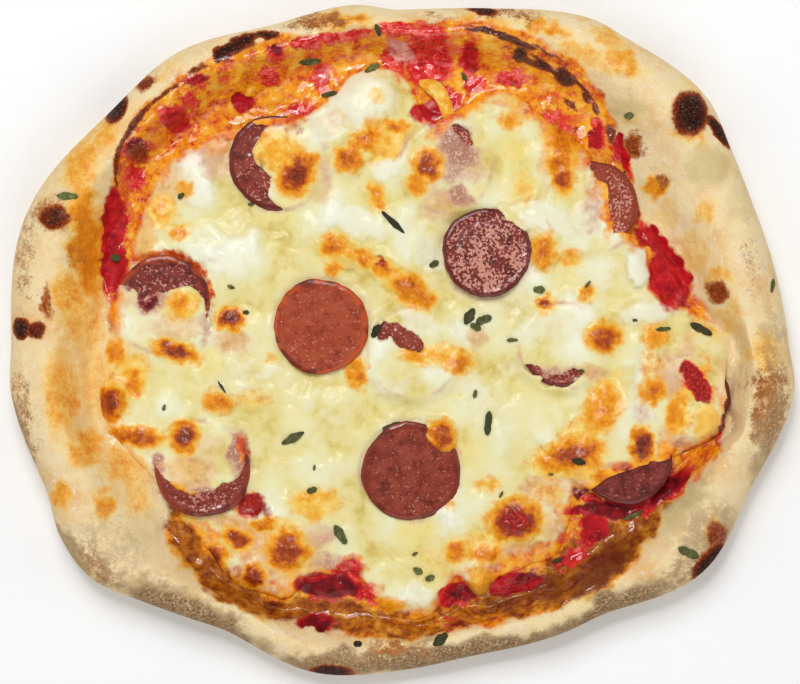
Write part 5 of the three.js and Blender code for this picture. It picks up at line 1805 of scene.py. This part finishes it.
@dataclass
class SausageSlices:
    """The slices of smoked sausage, each an uneven disc with a curled casing edge."""

    spokes: int = 180
    face_rings: int = 34
    tear: float = 0.22
    play: float = 0.15
    curl: float = 0.3
    dip: float = 0.12

    def build(self, finish: SausageFinish) -> list[bpy.types.Object]:
        """Every slice as its own piece."""
        return [self.one(piece, finish) for piece in SLICES]

    def one(self, piece: Slice, finish: SausageFinish) -> bpy.types.Object:
        """Rings over the underside, the rounded edge and the upper face, tilted in place.

        Args:
            piece: The slice.
            finish: How its meat and casing look.

        Returns:
            The piece, on its body, in its node's place.
        """
        angle = turns(self.spokes)
        uneven = 1 + 0.014 * np.sin(3 * angle + piece.x) + 0.01 * np.sin(5 * angle + piece.y)
        around_x, around_y = polar(9.0, angle)
        torn = self.tear * fractal(around_x + piece.x, around_y + piece.y, 2.4, 7, 3)
        radius = piece.radius * uneven - self.play + torn
        bevel, thick = TERRAIN.bevel, TERRAIN.slice
        rings = [circle(angle, (radius - bevel) * share, 0.0) for share in (0.4, 0.8, 1.0)]
        for turn in np.linspace(0.2, 1.0, 4):
            reach = radius - bevel + bevel * math.sin(turn * math.pi / 2)
            rings.append(circle(angle, reach, bevel * (1 - math.cos(turn * math.pi / 2))))
        for turn in np.linspace(0.0, 1.0, 6):
            reach = radius - bevel + bevel * math.cos(turn * math.pi / 2)
            rings.append(circle(angle, reach, thick - bevel + bevel * math.sin(turn * math.pi / 2)))
        for share in np.linspace(1.0, 0.02, self.face_rings)[1:]:
            reach = (radius - bevel) * share
            x, y = polar(reach, angle)
            curl = self.curl * smoothstep(0.8, 1.0, np.full_like(x, share)) - self.dip
            rough = 0.09 * fractal(x + piece.x, y + piece.y, 2.6, 8, 4)
            dome = TERRAIN.dome * (1 - share * share)
            rings.append(circle(angle, reach, thick + curl * share + rough + dome))
        crown = np.array((0.0, 0.0, thick + TERRAIN.dome - self.dip))
        points, faces = shell(rings, np.zeros(3), crown)
        inside = 0.8 - 0.1 * piece.rind * (piece.redness > 0.5)
        edge = smoothstep(inside, 0.97, np.hypot(points[:, 0], points[:, 1]) / piece.radius)
        name = f"sausage_{piece.node}"
        material = finish.material(name, piece.redness, piece.fat_and_glint, piece.rind)
        # The specks grow denser towards the slice's near side and fewer at the casing: painted glints.
        depth = smoothstep(0.5, -0.9, points[:, 1] / piece.radius)
        clusters = 0.85 + 0.6 * fractal(points[:, 0] + piece.x, points[:, 1] + piece.y, 7, 9, 2)
        glint = piece.fat_and_glint * lerp(0.3 + 0.7 * piece.fat_and_glint, 1.2, depth) * clusters - 0.5 * edge
        placed = self.tilt(points, piece)
        made = Skin(placed, faces, {"edge": edge, "glint": glint}).build(name, material)
        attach(made, "root")
        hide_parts(piece.node)
        return made

    @staticmethod
    def tilt(points: Array, piece: Slice) -> Array:
        """Turns points about X, then Y, and moves them to the slice's place.

        Args:
            points: Points of the level slice, in mm.
            piece: The slice.

        Returns:
            The points in place.
        """
        a, b = math.radians(piece.tilt_x), math.radians(piece.tilt_y)
        x, y, z = points.T
        y, z = y * math.cos(a) - z * math.sin(a), y * math.sin(a) + z * math.cos(a)
        x, z = x * math.cos(b) + z * math.sin(b), z * math.cos(b) - x * math.sin(b)
        return np.stack([x + piece.x, y + piece.y, z + piece.height], axis=-1)


@dataclass
class CheeseShred:
    """A loose crescent of cheese on the tomato at the far side."""

    x: float = 3.5
    y: float = 67.5
    arc: float = 10.5
    start: float = -12.0
    end: float = 80.0
    width: float = 4.8
    height: float = 2.4
    sink: float = 0.2
    steps: int = 60
    sides: int = 28

    def build(self, material: Material) -> bpy.types.Object:
        """A round section carried along an arc, tapering to both ends.

        Args:
            material: The finish.

        Returns:
            The piece, on its body, in its node's place.
        """
        along = np.linspace(0.0, 1.0, self.steps)[:, None]
        around = turns(self.sides)[None, :]
        angle = np.radians(lerp(self.start, self.end, along))
        body = np.sqrt(np.clip(np.sin(np.pi * lerp(0.02, 0.98, along)), 0, 1))
        wobble = 1 + 0.12 * np.sin(9 * along + 1) + 0.06 * np.sin(3 * around + 12 * along)
        across = 0.5 * self.width * body * wobble * np.cos(around)
        up = 0.5 * self.height * body * wobble * (1 + np.sin(around))
        x, y = polar(self.arc + across, angle)
        middle_x, middle_y = polar(self.arc, angle[:, 0])
        rest = TERRAIN.sauce_top(Places(self.x + middle_x, self.y + middle_y))[:, None]
        grid = np.stack([self.x + x, self.y + y, rest - self.sink + up], axis=-1)
        ends = grid.mean(axis=1)
        points, faces = shell(list(grid), ends[0], ends[-1])
        shape = (self.steps, self.sides)
        crown = smoothstep(-0.2, 1.0, np.sin(around)) * np.ones(shape)
        tone = 0.2 + 0.12 * crown * (0.6 + 0.4 * np.sin(7 * along))
        toast = np.concatenate([tone.ravel(), [0.2, 0.2]])
        blank = np.zeros(len(points))
        patches = {name: blank for name in paint(Places(np.zeros(1), np.zeros(1)))}
        patches.update(milk=blank + 1.0, amber=blank + 1.0, toast=toast)
        piece = Skin(points, faces, patches).build("loose_cheese_shred", material)
        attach(piece, "root")
        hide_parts("cheese_shred")
        return piece


class Layer(Enum):
    """What a herb flake lies on."""

    CRUST = "crust"
    SAUCE = "sauce"
    CHEESE = "cheese"


@dataclass(frozen=True)
class Flake:
    """One dried herb leaf: middle, length, width, turn and shade."""

    x: float
    y: float
    length: float
    width: float
    turn: float
    shade: float = 0.5


@dataclass(frozen=True)
class HerbFinish:
    """Dried herb: olive and khaki, and almost black green in the dark leaves."""

    olive: str = "#566030"
    khaki: str = "#8E9054"
    dark: str = "#34311E"


@dataclass
class Herbs:
    """Dried oregano and parsley: thin curled leaves, some crushed to specks."""

    along: int = 13
    across: int = 7
    thickness: float = 0.16

    # Middle, length, width, turn and shade of each flake.
    FLAKES = {
        Layer.CHEESE: (
            (-8.7, 82, 5, 2.6, 30, 0.2), (-21.5, 74.2, 5, 2, 10, 0.7),
            (-2.4, 35.6, 9.5, 2.2, -44, 1.0), (9.9, 23.1, 3.2, 2.4, 30, 0.6),
            (41.4, 15.4, 3.6, 2.8, 0, 0.4), (20.5, 7.4, 5.5, 3.6, 60, 0.8),
            (24.8, 6.4, 5, 3.2, 20, 0.6), (22.4, 4.2, 3.6, 2.6, -30, 0.5),
            (33.3, 0.3, 3.4, 1.5, 0, 0.5), (-32.4, -29.1, 7.6, 3, 28, 0.6),
            (-53.7, -13.8, 4.2, 1, -55, 0.8), (26.1, -24.6, 7.4, 2.8, 84, 0.8),
            (22.2, -15.9, 2.6, 1.6, 80, 0.3), (-18.2, -58, 6.6, 3.4, -58, 0.5),
            (-26.7, -44.7, 3.2, 2.4, 20, 0.6), (53.1, -36, 4.4, 2.4, -15, 1.0),
            (78.6, 3.6, 4.8, 1.6, 5, 0.5), (70, 6.2, 1.6, 1.2, 0, 0.3),
            (-2.6, -25.4, 6.4, 2, 18, 0.7), (5.1, -69, 3.2, 2.6, -30, 0.3),
            (8.7, -71.1, 3, 2.4, 20, 0.3), (4.2, -63.9, 2, 1.2, 30, 0.4),
            (-51, 16.2, 2.4, 1.4, -20, 0.4), (-46.5, 8.6, 2, 1.6, 0, 0.8),
            (-66, 43.5, 2.4, 2, 40, 0.7), (-85.8, 25, 2.2, 4, 80, 0.7),
            (90, 3.6, 7.4, 3, -28, 0.9), (-7.5, 3, 4.6, 3, 60, 1.0),
            (30, -46, 2.2, 1, 60, 0.5), (45, -40, 1.6, 1, 0, 0.3),
            (-45, 41, 2, 1.4, 0, 0.5), (-71, -20, 2, 1.2, 70, 0.4),
            (54, -9, 2, 1.4, 0, 0.3), (-26, -38, 1.8, 1, 80, 0.4),
            (56, 17, 2.6, 1.1, 50, 0.6),
        ),
        Layer.SAUCE: (
            (-27.3, 83.6, 6.6, 2.2, 5, 0.5), (19, 79.5, 3, 1.6, -60, 0.7),
            (70, -52.4, 6.4, 1.6, 24, 0.4), (47, -66, 3.6, 1.4, 20, 0.9),
            (-6.9, 92.4, 3.8, 2, -70, 0.8), (91, -12, 7, 3.4, -60, 0.8),
            (67, 50, 3, 1.4, 70, 0.6),
        ),
        Layer.CRUST: (
            (-98.7, 42.9, 6.4, 2.8, -2, 0.3), (68, 67.2, 2.8, 2.6, 0, 0.1),
            (110.6, 16.5, 4.4, 1.6, 78, 0.5), (85.2, -62.7, 6.8, 3.4, -25, 0.5),
            (11.7, -88.8, 5.4, 3.6, 40, 0.9), (-12.9, -90.2, 2.6, 2.2, 0, 1.0),
            (96, 2, 4, 2.4, -50, 0.9),
        ),
    }

    def leaf(self, flake: Flake, layer: Layer) -> tuple[Array, Array]:
        """Points and faces of one leaf: a pointed grid, folded at its midrib and curled up.

        Args:
            flake: The leaf.
            layer: What it lies on.

        Returns:
            The points in mm, and the corners of each face.
        """
        u, v = np.meshgrid(np.linspace(-1, 1, self.along), np.linspace(-1, 1, self.across))
        ragged = 1 + 0.13 * np.sin(5 * u + 5 * flake.x) + 0.06 * np.sin(11 * u + flake.y)
        half = np.sqrt(np.clip(1.02 - np.abs(u) ** 1.7, 0.02, 1)) * ragged
        across = v * half * flake.width * 0.4
        along = u * flake.length / 2
        cosine, sine = math.cos(math.radians(flake.turn)), math.sin(math.radians(flake.turn))
        x = flake.x + along * cosine - across * sine
        y = flake.y + along * sine + across * cosine
        surface = {Layer.CRUST: TERRAIN.crust_top, Layer.SAUCE: TERRAIN.sauce_top,
                   Layer.CHEESE: TERRAIN.cheese_top}[layer]
        ground = surface(Places(x.ravel(), y.ravel())).reshape(x.shape)
        flat = lerp(ground, np.full_like(ground, ground.mean()), 0.5)
        fold = 0.3 * np.abs(v) * flake.width / 3
        curl = 0.35 * u * u * np.sin(flake.x) + 0.18 * np.sin(3 * u + 2 * v + flake.y)
        top = np.maximum(flat + fold + curl, ground) + 0.28
        upper = np.stack([x, y, top], axis=-1).reshape(-1, 3)
        lower = upper - (0.0, 0.0, self.thickness)
        return np.vstack([upper, lower]), self.leaf_faces()

    def leaf_faces(self) -> Array:
        """Faces of both sides of a leaf and of the strip round its edge.

        Returns:
            The corners of each face.
        """
        rows, columns = self.across, self.along
        row, column = (g.ravel() for g in np.meshgrid(
            np.arange(rows - 1), np.arange(columns - 1), indexing="ij"))
        a = row * columns + column
        top = np.stack([a, a + 1, a + columns + 1, a + columns], axis=-1)
        size = rows * columns
        bottom = top[:, ::-1] + size
        front = np.arange(columns)
        side = front[-1] + columns * np.arange(1, rows)
        back = size - 1 - np.arange(1, columns)
        home = (rows - 1) * columns - columns * np.arange(1, rows)
        loop = np.concatenate([front, side, back, home[:-1]])
        nxt = np.roll(loop, -1)
        strip = np.stack([loop, loop + size, nxt + size, nxt], axis=-1)
        return np.vstack([top, bottom, strip])

    def material(self) -> Material:
        """Dried oregano: dull olive to almost black green, slightly glossy with oil.

        Returns:
            The new material.
        """
        food, tone = Food("dried_herb", Palette.DOUGH, Finishes()), HerbFinish()
        mid, fine = food.grain(1.6, 3), food.grain(0.5, 3)
        green = food.mix(food.ragged(mid, fine, 0.5, 0.35, 0.75), tone.olive, tone.khaki)
        colour = food.mix(food.patch("shade"), green, tone.dark)
        bump = add(food.tree, "ShaderNodeBump", {}, {
            "Height": fine, "Strength": 0.5, "Distance": 0.2 * MM}).outputs["Normal"]
        return food.close({"Base Color": colour, "Normal": bump, "Roughness": 0.7,
                           "Specular IOR Level": 0.2})

    def build(self) -> list[bpy.types.Object]:
        """One joined piece of leaves for each layer that they lie on.

        Returns:
            The pieces, each on its body, over its layer's node.
        """
        material = self.material()
        made = []
        for layer, rows in self.FLAKES.items():
            points, faces, shades, start = [], [], [], 0
            for flake in (Flake(*row) for row in rows):
                leaf_points, leaf_faces = self.leaf(flake, layer)
                points.append(leaf_points)
                faces.append(leaf_faces + start)
                shades.append(np.full(len(leaf_points), flake.shade))
                start += len(leaf_points)
            skin = Skin(np.vstack(points), [np.vstack(faces)], {"shade": np.concatenate(shades)})
            piece = skin.build(f"herb_flakes_on_{layer.value}", material)
            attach(piece, "root")
            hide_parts(layer.value)
            made.append(piece)
        return made


# ------------------------------------------------------------------ studio

@dataclass
class Studio:
    """A pale table, soft light from the far side, and a camera straight above."""

    view_width: float = 240.0
    camera_height: float = 900.0
    sensor: float = 36.0
    focus_height: float = 9.0
    aim: tuple[float, float] = (-0.3, -0.3)
    table_half: float = 3.0
    table_drop: float = 0.0002
    card: tuple[float, float, float, float] = (0.95, 0.95, 0.95, 1.0)
    air: float = 0.16

    # Name, place in metres, size in metres and power in watts of each soft light.
    LIGHTS = (
        ("far_softbox", (-0.12, 0.55, 1.0), 0.5, 6.3),
        ("glint_lamp", (-0.1, 0.32, 1.0), 0.12, 1.3),
        ("near_fill", (0.2, -0.85, 0.8), 0.9, 4.1),
        ("left_fill", (-0.95, -0.1, 0.7), 0.9, 2.8),
        ("right_fill", (0.95, 0.1, 0.7), 0.9, 2.6),
    )

    def build(self) -> None:
        """Makes the floor, the lights, the surroundings and the camera."""
        self.floor()
        for name, place, size, power in self.LIGHTS:
            self.light(name, place, size, power)
        self.surroundings()
        self.camera()

    def floor(self) -> None:
        """A large pale square just under the pinsa."""
        mesh = bpy.data.meshes.new("table")
        half, z = self.table_half, -self.table_drop
        corners = [(-half, -half, z), (half, -half, z), (half, half, z), (-half, half, z)]
        mesh.from_pydata(corners, [], [(0, 1, 2, 3)])
        material = bpy.data.materials.new("matt_white_card")
        material.use_nodes = True
        shader = material.node_tree.nodes["Principled BSDF"]
        shader.inputs["Base Color"].default_value = self.card
        shader.inputs["Roughness"].default_value = 0.9
        mesh.materials.append(material)
        table = bpy.data.objects.new("table", mesh)
        bpy.context.scene.collection.objects.link(table)

    def light(self, name: str, place: tuple[float, float, float], size: float,
              power: float) -> None:
        """A square soft light that faces the pinsa.

        Args:
            name: The light's name.
            place: Where it is, in metres.
            size: Length of its side, in metres.
            power: Its power, in watts.
        """
        data = bpy.data.lights.new(name, "AREA")
        data.size = size
        data.energy = power
        lamp = bpy.data.objects.new(name, data)
        lamp.location = place
        lamp.rotation_euler = (-lamp.location).to_track_quat("-Z", "Y").to_euler()
        bpy.context.scene.collection.objects.link(lamp)

    def surroundings(self) -> None:
        """Even pale light from all round."""
        world = bpy.data.worlds.new("studio_air")
        world.use_nodes = True
        background = world.node_tree.nodes["Background"]
        background.inputs["Color"].default_value = (1.0, 1.0, 1.0, 1.0)
        background.inputs["Strength"].default_value = self.air
        bpy.context.scene.world = world

    def camera(self) -> None:
        """A long lens straight above the photographed middle."""
        data = bpy.data.cameras.new("overhead")
        data.sensor_width = self.sensor
        data.lens = self.sensor * (self.camera_height - self.focus_height) / self.view_width
        data.clip_end = 10.0
        camera = bpy.data.objects.new("overhead", data)
        x, y = self.aim[0] + SHIFT[0], self.aim[1] + SHIFT[1]
        camera.location = (x * MM, y * MM, self.camera_height * MM)
        bpy.context.scene.collection.objects.link(camera)
        bpy.context.scene.camera = camera
        bpy.context.scene.view_settings.view_transform = "Standard"


def main() -> None:
    """Builds the studio and every piece in order, and reports each piece."""
    logging.basicConfig(level=logging.INFO, format="%(name)s: %(message)s")
    Studio().build()
    finishes = Finishes()
    dough = Food("stone_baked_dough", Palette.DOUGH, finishes).finish()
    sauce = Food("crushed_tomato_sauce", Palette.SAUCE, finishes).finish()
    cheese = Food("melted_mozzarella", Palette.CHEESE, finishes).finish()
    made = [Crust().build(dough), Sauce().build(sauce), Cheese().build(cheese)]
    made += SausageSlices().build(SausageFinish())
    made.append(CheeseShred().build(cheese))
    made += Herbs().build()
    for piece in made:
        log.info("%s: %d faces", piece.name, len(piece.data.polygons))


if __name__ == "__main__":
    main()
